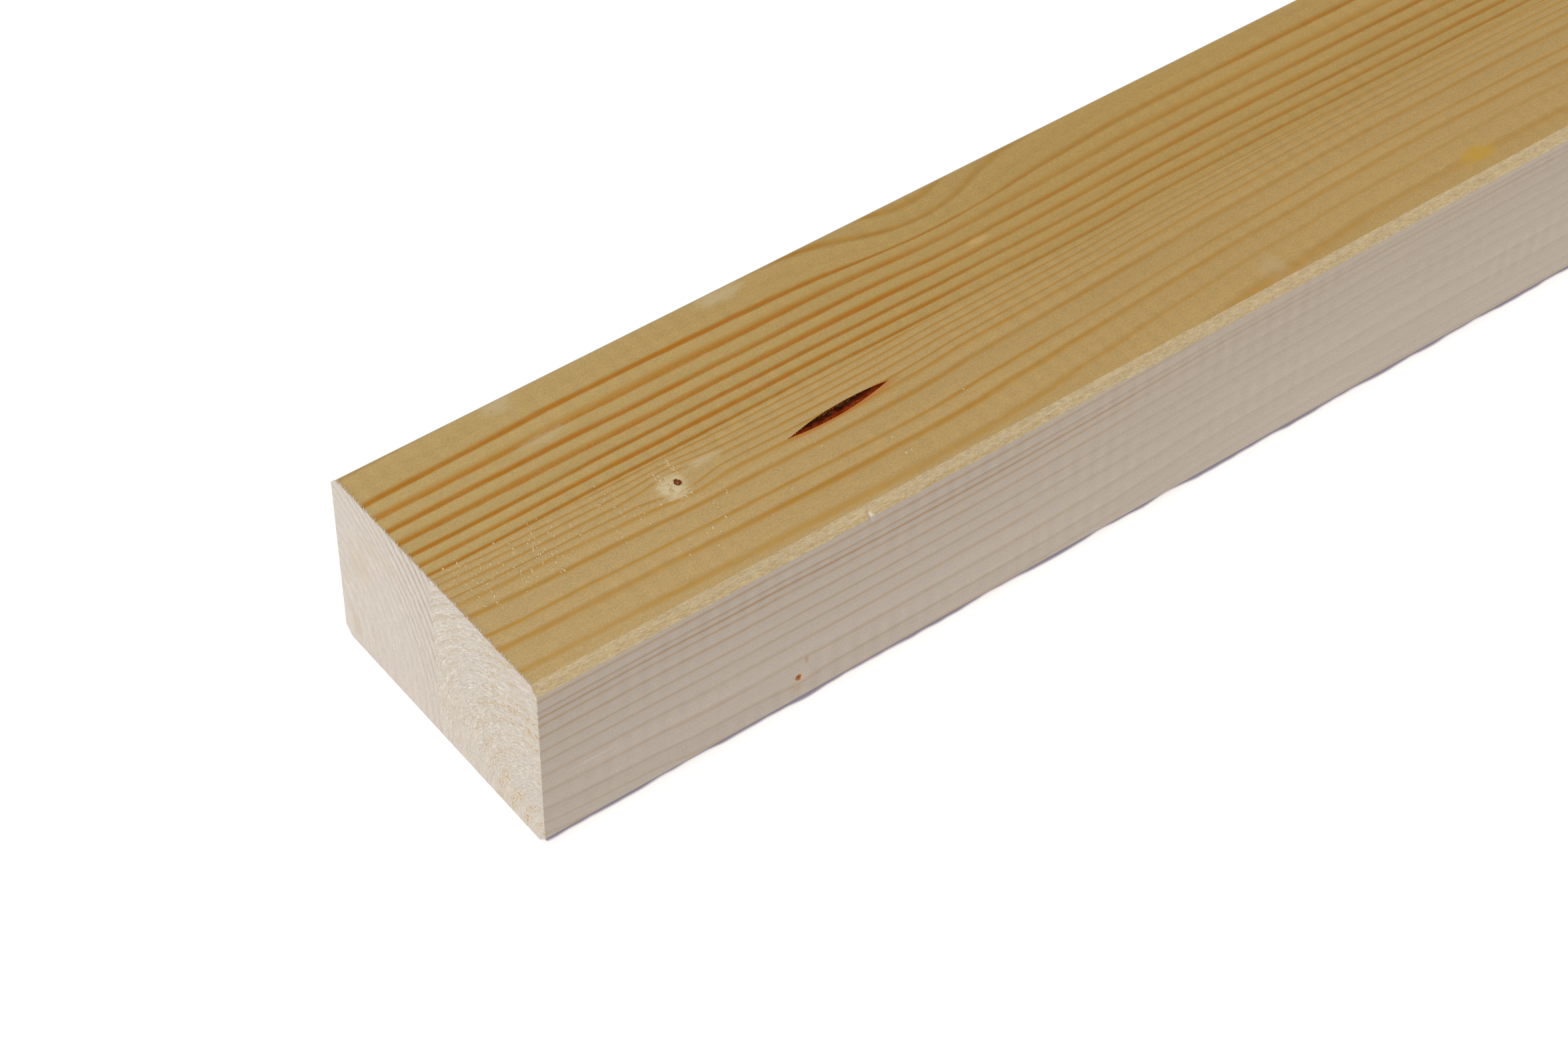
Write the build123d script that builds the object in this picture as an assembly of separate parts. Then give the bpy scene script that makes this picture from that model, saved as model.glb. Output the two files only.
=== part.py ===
from build123d import *
import os

# A planed softwood plank with chamfered long edges and square-sawn ends, glued from two lamellae
# that stand side by side and meet along the middle of the plank's width.
# Millimetres. X runs along the length, Y from the front face to the back face, and Z up.
# The origin is on the underside, at mid length and mid width.

# Driving dimensions of the plank
plank_length = 1200.0
plank_thickness = 44.0
front_lamella_width = 35.5
back_lamella_width = 34.5
edge_chamfer = 2.0

# Driving dimensions of the resin pocket, a lens-shaped opening in the top of the front lamella
pocket_length = 25.5
pocket_width = 2.6
pocket_depth = 1.2
near_end_to_pocket = 89.5
glue_line_to_pocket = 9.7

# Planes of the section, worked out from the driving dimensions
plank_width = front_lamella_width + back_lamella_width
front_face_y = -plank_width / 2
glue_line_y = front_face_y + front_lamella_width
back_face_y = glue_line_y + back_lamella_width
near_end_x = -plank_length / 2


def lamella(outer_face_y, inward):
    """One lamella from the glue line to its outer face, with that face's two long edges chamfered.

    inward is +1 or -1, the way along Y from the outer face to the glue line.
    """
    chamfer_start_y = outer_face_y + inward * edge_chamfer
    section = Polyline(
        (glue_line_y, 0),
        (chamfer_start_y, 0),
        (outer_face_y, edge_chamfer),
        (outer_face_y, plank_thickness - edge_chamfer),
        (chamfer_start_y, plank_thickness),
        (glue_line_y, plank_thickness),
        close=True,
    )
    near_end = Plane.YZ.offset(near_end_x) * make_face(section)
    return extrude(near_end, amount=plank_length, dir=(1, 0, 0))


def resin_pocket():
    """The opening where a resin streak was planed through: two shallow arcs, cut straight down."""
    half_length = pocket_length / 2
    half_width = pocket_width / 2
    back_side = ThreePointArc((-half_length, 0), (0, half_width), (half_length, 0))
    front_side = ThreePointArc((half_length, 0), (0, -half_width), (-half_length, 0))
    centre = (near_end_x + near_end_to_pocket, glue_line_y - glue_line_to_pocket, plank_thickness)
    mouth = Pos(*centre) * make_face(back_side + front_side)
    return extrude(mouth, amount=pocket_depth, dir=(0, 0, -1))


front_lamella = lamella(front_face_y, inward=1) - resin_pocket()
back_lamella = lamella(back_face_y, inward=-1)

os.makedirs("parts", exist_ok=True)
for name, solid in {"front_lamella": front_lamella, "back_lamella": back_lamella}.items():
    export_step(solid, f"parts/{name}.step")
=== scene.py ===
import logging
import math
import random
from collections.abc import Iterator
from dataclasses import dataclass
from enum import Enum
from functools import reduce

import bmesh
import bpy
import numpy as np
from mathutils import Matrix, Vector, noise


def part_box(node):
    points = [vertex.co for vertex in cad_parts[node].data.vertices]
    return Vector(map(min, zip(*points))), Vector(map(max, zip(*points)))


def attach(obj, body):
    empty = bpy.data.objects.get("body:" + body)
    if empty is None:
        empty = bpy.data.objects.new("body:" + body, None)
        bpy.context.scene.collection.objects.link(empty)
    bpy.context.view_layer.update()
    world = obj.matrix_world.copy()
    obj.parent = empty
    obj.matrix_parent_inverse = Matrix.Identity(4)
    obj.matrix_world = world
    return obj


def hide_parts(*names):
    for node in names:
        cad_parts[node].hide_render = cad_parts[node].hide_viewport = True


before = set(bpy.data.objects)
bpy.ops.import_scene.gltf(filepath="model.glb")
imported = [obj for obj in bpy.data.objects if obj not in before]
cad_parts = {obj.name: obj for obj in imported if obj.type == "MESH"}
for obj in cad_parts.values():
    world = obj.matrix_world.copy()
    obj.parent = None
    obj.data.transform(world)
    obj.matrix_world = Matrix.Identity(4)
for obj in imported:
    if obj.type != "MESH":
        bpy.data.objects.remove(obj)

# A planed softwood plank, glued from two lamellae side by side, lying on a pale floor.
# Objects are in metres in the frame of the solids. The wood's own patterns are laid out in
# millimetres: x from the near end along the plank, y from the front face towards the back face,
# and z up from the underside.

MM = 0.001
BODY = "root"
BAKE_MAP = "OFBake"
# How far along the plank, in millimetres, its rings were measured, and where they wander freely.
MEASURED_X, FREE_X = 250.0, 420.0

Socket = bpy.types.NodeSocket
Feed = Socket | float | tuple[float, ...]
Feeds = dict[str | int, Feed]
Point = tuple[float, float, float]
Colour = tuple[float, float, float]
Curve = tuple[tuple[float, float], ...]

log = logging.getLogger("plank")


class Face(Enum):
    """The kinds of surface that a lamella has, in the order of its material slots."""

    PLANED = 0
    SIDE = 1
    CHAMFER = 2
    END = 3
    RESIN = 4
    GLUED = 5


def srgb(red: float, green: float, blue: float) -> Colour:
    """Turns a colour as a screen shows it, 0 to 255, into the linear values that shaders take."""
    return tuple((c / 255 / 12.92) if c <= 10 else ((c / 255 + 0.055) / 1.055) ** 2.4
                 for c in (red, green, blue))


def add_object(name: str, data: bpy.types.ID) -> bpy.types.Object:
    """Puts some data into the scene as an object.

    Args:
        name: the object's name.
        data: its mesh, camera or lamp.

    Returns:
        The new object.
    """
    made = bpy.data.objects.new(name, data)
    bpy.context.scene.collection.objects.link(made)
    return made


@dataclass(frozen=True)
class Stock:
    """The plank's sizes, in metres, as the frame gives them."""

    near_end: float
    far_end: float
    front: float
    glue_line: float
    back: float
    top: float
    chamfer: float

    @classmethod
    def from_frame(cls) -> "Stock":
        """Reads the sizes off the two solids.

        Returns:
            The plank's sizes.
        """
        low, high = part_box("front_lamella")
        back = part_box("back_lamella")[1].y
        flat = [v.co.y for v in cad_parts["front_lamella"].data.vertices if v.co.z > high.z - 1e-6]
        return cls(low.x, high.x, low.y, high.y, back, high.z, min(flat) - low.y)

    @property
    def length_mm(self) -> float:
        """The plank's length in millimetres."""
        return (self.far_end - self.near_end) / MM

    @property
    def thickness_mm(self) -> float:
        """The plank's thickness in millimetres."""
        return self.top / MM

    @property
    def width_mm(self) -> float:
        """The plank's width in millimetres."""
        return (self.back - self.front) / MM

    def at(self, x: float, y: float, z: float) -> Vector:
        """Turns a place on the plank, in millimetres, into a point of the frame in metres."""
        return Vector((self.near_end + x * MM, self.front + y * MM, z * MM))


@dataclass(frozen=True)
class ResinPocket:
    """The lens-shaped opening in the front lamella's top, in millimetres on the plank.

    Its slant is how far it runs off the plank's length in each millimetre, and its shoulder the
    share of its half width that the wall takes.
    """

    x: float
    y: float
    length: float
    width: float
    depth: float
    slant: float = 0.055
    shoulder: float = 0.3

    @classmethod
    def from_frame(cls, stock: Stock) -> "ResinPocket":
        """Finds the pocket in the front lamella's solid.

        Args:
            stock: the plank's sizes.

        Returns:
            The pocket where the solid has it.
        """
        inside = [
            v.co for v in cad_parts["front_lamella"].data.vertices
            if stock.front + stock.chamfer + 1e-6 < v.co.y < stock.glue_line - 1e-6
        ]
        points = np.array([(v.x, v.y, v.z) for v in inside])
        low, high = points.min(0), points.max(0)
        middle = (low + high) / 2
        return cls(
            (middle[0] - stock.near_end) / MM, (middle[1] - stock.front) / MM,
            (high[0] - low[0]) / MM, (high[1] - low[1]) / MM, (high[2] - low[2]) / MM,
        )

    def centre_y(self, x: np.ndarray) -> np.ndarray:
        """The pocket's slanting middle line, which straightens out past the tips.

        Args:
            x: places along the plank, in millimetres.

        Returns:
            The line's y at each place.
        """
        along = (x - self.x) / (self.length / 2)
        fade = np.exp(-np.clip(np.abs(along) - 1, 0, None) ** 2)
        return self.y + self.slant * (x - self.x).clip(-self.length / 2, self.length / 2) * fade

    def half_width(self, x: np.ndarray) -> np.ndarray:
        """Half the width of the strip of columns that the pocket is cut from, at each x.

        Args:
            x: places along the plank, in millimetres.

        Returns:
            The pocket's own half width inside it, and an easy opening out past its tips.
        """
        along = np.abs(x - self.x) / (self.length / 2)
        skew = np.clip((x - self.x) / (self.length / 2), -1, 1)
        lens = (1 - np.clip(along, 0, 1) ** 2) ** (1.0 - 0.1 * skew)
        beyond = np.clip((along - 1) / 0.8, 0, 1)
        return self.width / 2 * np.maximum(0.06, np.where(along < 1, lens, beyond ** 2 * (3 - 2 * beyond)))

    def depth_at(self, x: np.ndarray, across: np.ndarray) -> np.ndarray:
        """How deep the pocket is.

        Args:
            x: places along the plank, in millimetres.
            across: places across the pocket, from -1 at its front rim to 1 at its back rim.

        Returns:
            The depth in millimetres, 0 outside the rim.
        """
        along = np.clip(np.abs(x - self.x) / (self.length / 2), 0, 1)
        wall = np.clip((1 - np.abs(across)) / self.shoulder, 0, 1)
        return self.depth * np.sqrt(1 - along ** 2) * wall ** 0.6


class Graph:
    """Adds nodes to a tree and links them."""

    def __init__(self, tree: bpy.types.NodeTree) -> None:
        """Starts on an existing tree."""
        self.tree = tree

    def feed(self, made: bpy.types.Node, feeds: Feeds) -> None:
        """Gives a node what goes into its inputs.

        Args:
            made: the node.
            feeds: what goes into each input, by name or number: a socket is linked, a value is set.
        """
        for key, feed in feeds.items():
            if isinstance(feed, Socket):
                self.tree.links.new(feed, made.inputs[key])
            else:
                made.inputs[key].default_value = feed

    def node(self, kind: str, feeds: Feeds | None = None, **settings: object) -> bpy.types.Node:
        """Adds one node.

        Args:
            kind: the node's type, without its ShaderNode prefix.
            feeds: what goes into its inputs.
            settings: the node's own properties.

        Returns:
            The new node.
        """
        made = self.tree.nodes.new("ShaderNode" + kind)
        for name, value in settings.items():
            setattr(made, name, value)
        self.feed(made, feeds or {})
        return made

    def math(self, operation: str, *values: Feed, clamp: bool = False) -> Socket:
        """One Math node of up to three values."""
        return self.node("Math", dict(enumerate(values)), operation=operation, use_clamp=clamp).outputs[0]

    def total(self, *values: Feed) -> Socket:
        """The sum of the values."""
        return reduce(lambda so_far, value: self.math("ADD", so_far, value), values)

    def product(self, *values: Feed) -> Socket:
        """The product of the values."""
        return reduce(lambda so_far, value: self.math("MULTIPLY", so_far, value), values)

    def swing(self, value: Feed, amount: Feed) -> Socket:
        """A value about 0.5, such as noise, turned into one about 0 that is as strong as the amount."""
        return self.product(self.math("SUBTRACT", value, 0.5), amount)

    def bell(self, square: Feed) -> Socket:
        """A value that falls from 1 towards 0 as the square of a distance grows."""
        return self.math("EXPONENT", self.product(square, -1.0))

    def vector(self, operation: str, *values: Feed) -> Socket:
        """One Vector Math node, and its vector output."""
        return self.node("VectorMath", dict(enumerate(values)), operation=operation).outputs["Vector"]

    def length(self, value: Feed) -> Socket:
        """The length of a vector."""
        return self.node("VectorMath", {0: value}, operation="LENGTH").outputs["Value"]

    def on_plank(self, position: Feed, stock: Stock) -> Socket:
        """Turns a position in the frame into a place on the plank, in millimetres."""
        off = self.vector("SUBTRACT", position, tuple(stock.at(0, 0, 0)))
        return self.node("VectorMath", {0: off, "Scale": 1 / MM}, operation="SCALE").outputs["Vector"]

    def split(self, value: Feed) -> tuple[Socket, Socket, Socket]:
        """A vector's three numbers."""
        return tuple(self.node("SeparateXYZ", {0: value}).outputs)

    def join(self, x: Feed, y: Feed, z: Feed) -> Socket:
        """A vector of three numbers."""
        return self.node("CombineXYZ", {0: x, 1: y, 2: z}).outputs[0]

    def ease(self, value: Feed, low: Feed, high: Feed, first: float = 0.0, last: float = 1.0) -> Socket:
        """A smooth step from first, at low, to last, at high."""
        feeds = {"Value": value, "From Min": low, "From Max": high, "To Min": first, "To Max": last}
        return self.node("MapRange", feeds, interpolation_type="SMOOTHSTEP").outputs[0]

    def spread(self, value: Feed, low: Feed, high: Feed, first: Feed = 0.0, last: Feed = 1.0) -> Socket:
        """A straight, clamped scale from first, at low, to last, at high."""
        feeds = {"Value": value, "From Min": low, "From Max": high, "To Min": first, "To Max": last}
        return self.node("MapRange", feeds).outputs[0]

    def mix(self, factor: Feed, first: Feed, second: Feed) -> Socket:
        """A mix of two colours."""
        feeds = {0: factor, 6: self.opaque(first), 7: self.opaque(second)}
        return self.node("Mix", feeds, data_type="RGBA").outputs[2]

    def between(self, factor: Feed, first: Feed, second: Feed) -> Socket:
        """A mix of two numbers."""
        return self.node("Mix", {0: factor, 2: first, 3: second}, data_type="FLOAT").outputs[0]

    def tint(self, colour: Feed, amount: Feed) -> Socket:
        """A colour made lighter or darker by a factor."""
        return self.vector("MULTIPLY", colour, self.join(amount, amount, amount))

    def noise(self, place: Feed, sizes: Point, detail: float = 2.0, roughness: float = 0.5,
              distortion: float = 0.0) -> Socket:
        """Noise whose features have the given sizes.

        Args:
            place: the place on the plank, in millimetres.
            sizes: how long the features are along x, y and z, in millimetres.
            detail: how many finer layers are added.
            roughness: how strong each finer layer is.
            distortion: how far the features are bent.

        Returns:
            A value about 0.5, mostly between 0.25 and 0.75.
        """
        feeds = {
            "Vector": self.vector("DIVIDE", place, sizes), "Scale": 1.0, "Detail": detail,
            "Roughness": roughness, "Distortion": distortion,
        }
        return self.node("TexNoise", feeds).outputs[0]

    def curve(self, value: Feed, low: float, high: float, points: Curve, straight: bool = False) -> Socket:
        """A number read off a curve.

        Args:
            value: what is looked up.
            low: the least value that the curve covers.
            high: the greatest value that the curve covers.
            points: the curve's points, as pairs of value and result.
            straight: whether the points are joined by straight lines.

        Returns:
            The result at that value.
        """
        least = min(result for _, result in points)
        most = max(result for _, result in points)
        span = (most - least) or 1.0
        made = self.node("FloatCurve", {"Value": self.spread(value, low, high)})
        line = made.mapping.curves[0]
        places = [((x - low) / (high - low), (result - least) / span) for x, result in points]
        while len(line.points) < len(places):
            line.points.new(0.5, 0.5)
        for point, (x, height) in zip(line.points, places):
            point.location = (x, height)
            point.handle_type = "VECTOR" if straight else "AUTO"
        made.mapping.update()
        return self.math("MULTIPLY_ADD", made.outputs[0], span, least)

    @staticmethod
    def opaque(colour: Feed) -> Feed:
        """A colour with the fourth number that colour sockets take."""
        return colour if isinstance(colour, Socket) else (*colour[:3], 1.0)


class Group:
    """A shader node group under construction, with named inputs and outputs."""

    KINDS = {"value": "NodeSocketFloat", "vector": "NodeSocketVector"}
    # An input that takes a place.
    POINT = ("vector", (0.0, 0.0, 0.0))

    def __init__(self, name: str, inputs: dict[str, tuple[str, Feed]], outputs: dict[str, str]) -> None:
        """Makes the group's tree and its sockets.

        Args:
            name: the group's name.
            inputs: the kind and the usual value of each input, by name.
            outputs: the kind of each output, by name.
        """
        self.tree = bpy.data.node_groups.new(name, "ShaderNodeTree")
        for key, (kind, value) in inputs.items():
            made = self.tree.interface.new_socket(key, in_out="INPUT", socket_type=self.KINDS[kind])
            made.default_value = value
        for key, kind in outputs.items():
            self.tree.interface.new_socket(key, in_out="OUTPUT", socket_type=self.KINDS[kind])
        self.graph = Graph(self.tree)
        self.inputs = self.tree.nodes.new("NodeGroupInput").outputs
        self.result = self.tree.nodes.new("NodeGroupOutput").inputs

    def put_out(self, **values: Socket) -> bpy.types.NodeTree:
        """Links the group's outputs.

        Args:
            values: what each output gives, by its name with underscores for spaces.

        Returns:
            The group's finished tree.
        """
        for key, value in values.items():
            self.tree.links.new(value, self.result[key.replace("_", " ")])
        return self.tree


@dataclass(frozen=True)
class Growth:
    """How one lamella grew: where its pith lay, how wide its rings are and how they wander.

    The ring radii are those of the latewood lines, from the pith outwards. At each radius there is
    a strength, how dark the lines are, and a late share, how broad they are in their rings. Along
    says how dark they are at each x, and the shoulder how much of them builds up slowly from the
    inside. Each band is a radius, with a curve for how far the rings there lie off their true circle
    at each x. A twig is its x, y and z, how far it bends the rings and how far off that dies away.
    The branch is its x, the angle that it lies at, its length, and how far it lifts the rings at
    each radius.
    """

    name: str
    pith_y: float
    pith_z: float
    radii: tuple[float, ...]
    strengths: Curve
    along: Curve
    late_share: Curve
    bands: tuple[tuple[float, Curve], ...]
    shoulder: float = 0.0
    twigs: tuple[tuple[float, float, float, float, float], ...] = ()
    branch: tuple[float, float, float, Curve] | None = None

    # A line is darkest from here to here in its ring, counted from 0 at the ring's inner edge to 1.
    DARKEST = (0.8, 0.84)
    # The slow shoulder starts this many times the line's share further in than that, but never before
    # its floor.
    SHOULDER_REACH, SHOULDER_FLOOR = 2.4, 0.05
    # The angle about the pith, in radians, over which the branch's swelling dies away.
    BRANCH_ARC = 0.5

    def group(self, stock: Stock) -> bpy.types.NodeTree:
        """Builds the node group that tells each point of the lamella which ring it lies in.

        Args:
            stock: the plank's sizes.

        Returns:
            A group from a position in the frame to the place in millimetres, the latewood mask,
            how far through its ring the point lies, a tone for each ring, and the radius and the
            way round the pith for end grain.
        """
        made = Group(
            self.name, {"Position": Group.POINT},
            {"Place": "vector", "Latewood": "value", "Phase": "value", "Ring tone": "value",
             "Polar": "vector"},
        )
        g = made.graph
        place = g.on_plank(made.inputs["Position"], stock)
        x, y, z = g.split(place)
        y = g.math("SUBTRACT", y, self.pith_y)
        z = g.math("SUBTRACT", z, self.pith_z)
        angle = g.math("ARCTAN2", z, y)
        radius = g.length(g.join(0.0, y, z))
        around = g.product(angle, radius)
        root = g.math("SQRT", g.math("DIVIDE", x, stock.length_mm, clamp=True))
        wander = self.wander(g, root, radius)
        for twig in self.twigs:
            wander = g.math("ADD", wander, self.bent_round(g, place, radius, *twig))
        if self.branch:
            wander = g.math("ADD", wander, self.lifted_over(g, x, radius, angle))
        true_radius = g.math("SUBTRACT", g.math("ADD", radius, self.shake(g, place, x)), wander)
        counts = tuple((r, float(i)) for i, r in enumerate((0.0,) + self.radii))
        ring = g.curve(true_radius, 0.0, self.radii[-1], counts, straight=True)
        phase = g.math("FRACT", ring)
        chance = g.node("TexWhiteNoise", {"W": g.math("FLOOR", ring)}, noise_dimensions="1D").outputs[0]
        late = self.latewood(g, root, true_radius, phase, chance)
        polar = g.join(radius, around, x)
        return made.put_out(Place=place, Latewood=late, Phase=phase, Ring_tone=chance, Polar=polar)

    @staticmethod
    def shake(g: Graph, place: Socket, x: Socket) -> Socket:
        """The small unevenness of the rings, and their free wander past the part that was measured.

        Args:
            g: the graph to build in.
            place: the place on the plank, in millimetres.
            x: the same, along the plank.

        Returns:
            How far the rings are shifted at each point, in millimetres.
        """
        lazy = g.noise(place, (150.0, 30.0, 30.0), 1.0)
        ripple = g.noise(place, (34.0, 8.0, 8.0), 1.0)
        tremor = g.noise(place, (5.0, 0.8, 0.8), 2.0)
        freedom = g.spread(x, MEASURED_X, FREE_X, 0.1, 2.6)
        return g.total(g.swing(lazy, freedom), g.swing(ripple, 0.5), g.swing(tremor, 0.22))

    def latewood(self, g: Graph, root: Socket, radius: Socket, phase: Socket, chance: Socket) -> Socket:
        """The latewood lines, which darken from the inside and stop short at the outside.

        Args:
            g: the graph to build in.
            root: the root of the way along the plank.
            radius: the distance from the pith, without the rings' wander.
            phase: how far through its ring each point lies.
            chance: a number of its own for each ring.

        Returns:
            A mask, 1 in the darkest lines.
        """
        reach = self.radii[-1]
        share = g.curve(radius, 0.0, reach, self.late_share)
        share = g.product(share, g.spread(chance, 0.0, 1.0, 0.8, 1.2))
        dark_from, dark_to = self.DARKEST
        core = g.ease(phase, g.math("SUBTRACT", dark_to, share), dark_from)
        start = g.math("MULTIPLY_ADD", share, -self.SHOULDER_REACH, dark_to)
        slow = g.spread(phase, g.math("MAXIMUM", start, self.SHOULDER_FLOOR), dark_to)
        begun = g.between(self.shoulder, core, slow)
        ended = g.ease(phase, dark_to, 1.0, 1.0, 0.0)
        strength = g.product(g.curve(radius, 0.0, reach, self.strengths), self.read(g, root, self.along))
        return g.product(begun, ended, strength)

    @staticmethod
    def read(g: Graph, root: Socket, curve: Curve) -> Socket:
        """Reads a curve along the plank by the root of the way along, which keeps it fine near the start."""
        end = curve[-1][0]
        return g.curve(root, 0.0, 1.0, tuple((math.sqrt(x / end), value) for x, value in curve))

    def wander(self, g: Graph, root: Socket, radius: Socket) -> Socket:
        """How far the ring at this radius lies off its circle, between one band and the next.

        Args:
            g: the graph to build in.
            root: the root of the way along the plank.
            radius: the distance from the pith.

        Returns:
            The push outwards at each point, in millimetres.
        """
        inside, curve = self.bands[0]
        pushed = self.read(g, root, curve)
        for outside, curve in self.bands[1:]:
            share = g.spread(radius, inside, outside)
            pushed = g.between(share, pushed, self.read(g, root, curve))
            inside = outside
        return pushed

    def bent_round(self, g: Graph, place: Socket, radius: Socket, x: float, y: float, z: float,
                   bend: float, reach: float) -> Socket:
        """The bend of the rings round a small twig.

        Args:
            g: the graph to build in.
            place: the place on the plank, in millimetres.
            radius: the distance from the pith.
            x: where the twig comes to the surface, along the plank.
            y: the same, across it.
            z: the same, up from the underside.
            bend: how far the nearest rings are pushed aside.
            reach: how far off the bend dies away.

        Returns:
            The push outwards at each point, in millimetres.
        """
        apart = g.vector("SUBTRACT", place, (x, y, z))
        near = g.length(g.vector("DIVIDE", apart, (reach * 1.5, reach, reach)))
        home = math.hypot(y - self.pith_y, z - self.pith_z)
        side = g.product(g.math("TANH", g.math("SUBTRACT", radius, home)), bend)
        return g.product(side, g.bell(g.math("POWER", near, 2.0)))

    def lifted_over(self, g: Graph, x: Socket, radius: Socket, angle: Socket) -> Socket:
        """The swelling of the rings over the branch.

        Args:
            g: the graph to build in.
            x: the place along the plank, in millimetres.
            radius: the distance from the pith.
            angle: the way round the pith.

        Returns:
            The push outwards at each point, in millimetres.
        """
        where, heading, length, lift = self.branch
        off = g.math("DIVIDE", g.math("SUBTRACT", x, where), length)
        turn = g.math("DIVIDE", g.math("SUBTRACT", angle, heading), self.BRANCH_ARC)
        far = g.total(*(g.math("POWER", g.math("ABSOLUTE", part), 2.0) for part in (off, turn)))
        return g.product(g.bell(far), g.curve(radius, lift[0][0], lift[-1][0], lift))


@dataclass(frozen=True)
class Effects:
    """The node groups that several of the wood's materials share."""

    fibres: bpy.types.NodeTree
    patch: bpy.types.NodeTree
    knot: bpy.types.NodeTree
    planing: bpy.types.NodeTree

    @classmethod
    def build(cls) -> "Effects":
        """Builds each shared group once."""
        return cls(cls.fibre_group(), cls.patch_group(), cls.knot_group(), cls.planing_group())

    @staticmethod
    def fibre_group() -> bpy.types.NodeTree:
        """The finest pattern of planed wood.

        Returns:
            A group from a place to streaks along the grain, a felt of cells, and a height.
        """
        outputs = dict.fromkeys(("Streaks", "Felt", "Height"), "value")
        made = Group("wood fibres", {"Place": Group.POINT}, outputs)
        g = made.graph
        place = made.inputs["Place"]
        long = g.noise(place, (24.0, 0.6, 0.6), 2.0, 0.6)
        short = g.noise(place, (4.5, 0.22, 0.22), 2.0, 0.6)
        felt = g.noise(place, (0.38, 0.26, 0.26), 2.0, 0.7)
        streaks = g.product(g.total(long, short, -1.0), 0.8)
        height = g.total(short, g.product(felt, 0.9))
        return made.put_out(Streaks=streaks, Felt=g.math("SUBTRACT", felt, 0.5), Height=height)

    @staticmethod
    def patch_group() -> bpy.types.NodeTree:
        """A blotch round a centre, whose edge is pushed in and out by a ragged value.

        Returns:
            A group from a place to a mask, 1 in the middle of the blotch.
        """
        made = Group(
            "patch",
            {"Place": Group.POINT, "Centre": Group.POINT, "Reach": ("vector", (1.0, 1.0, 1.0)),
             "Ragged": ("value", 0.0), "Unevenness": ("value", 0.6)},
            {"Mask": "value"},
        )
        g = made.graph
        apart = g.vector("DIVIDE", g.vector("SUBTRACT", made.inputs["Place"], made.inputs["Centre"]),
                         made.inputs["Reach"])
        pushed = g.product(made.inputs["Ragged"], made.inputs["Unevenness"])
        edge = g.math("SUBTRACT", g.length(apart), pushed)
        return made.put_out(Mask=g.ease(edge, 0.2, 1.15, 1.0, 0.0))

    @staticmethod
    def knot_group() -> bpy.types.NodeTree:
        """A pin knot.

        Returns:
            A group from a place to its heart, the dark bark round it, and the wood round both.
        """
        made = Group(
            "pin knot", {"Place": Group.POINT, "Centre": Group.POINT, "Size": ("value", 1.0)},
            dict.fromkeys(("Heart", "Bark", "Halo"), "value"),
        )
        g = made.graph
        place = made.inputs["Place"]
        apart = g.vector("SUBTRACT", place, made.inputs["Centre"])
        bent = g.swing(g.noise(place, (0.9, 0.9, 0.9), 2.0, 0.6), 0.9)
        distance = g.length(g.vector("MULTIPLY", apart, (1.1, 0.85, 0.85)))
        near = g.math("ADD", g.math("DIVIDE", distance, made.inputs["Size"]), bent)
        heart = g.ease(near, 0.3, 0.55, 1.0, 0.0)
        bark = g.ease(near, 0.8, 1.05, 1.0, 0.0)
        halo = g.ease(near, 1.0, 3.2, 1.0, 0.0)
        return made.put_out(Heart=heart, Bark=bark, Halo=halo)

    @staticmethod
    def planing_group() -> bpy.types.NodeTree:
        """The faint cross ripples that the planer's knives leave, stronger in some stretches.

        Returns:
            A group from a place and the ripples' pitch to their height.
        """
        made = Group("planing marks", {"Place": Group.POINT, "Pitch": ("value", 4.0)}, {"Height": "value"})
        g = made.graph
        place = made.inputs["Place"]
        drift = g.product(g.noise(place, (35.0, 60.0, 60.0), 1.0), 5.0)
        turns = g.math("DIVIDE", g.math("ADD", g.split(place)[0], drift), made.inputs["Pitch"])
        wave = g.math("SINE", g.product(turns, math.tau))
        where = g.ease(g.noise(place, (40.0, 14.0, 14.0), 1.0), 0.42, 0.66)
        return made.put_out(Height=g.product(wave, where))


@dataclass(frozen=True)
class Spot:
    """A blotch on a face: its middle, its reach and its colour, in millimetres."""

    centre: Point
    reach: Point
    colour: Colour
    strength: float
    unevenness: float = 0.6


@dataclass(frozen=True)
class PinKnot:
    """A pin knot: where it comes to the surface, and its size, in millimetres."""

    centre: Point
    size: float
    heart: Colour
    bark: Colour
    halo: Colour = srgb(204, 184, 142)


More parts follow.
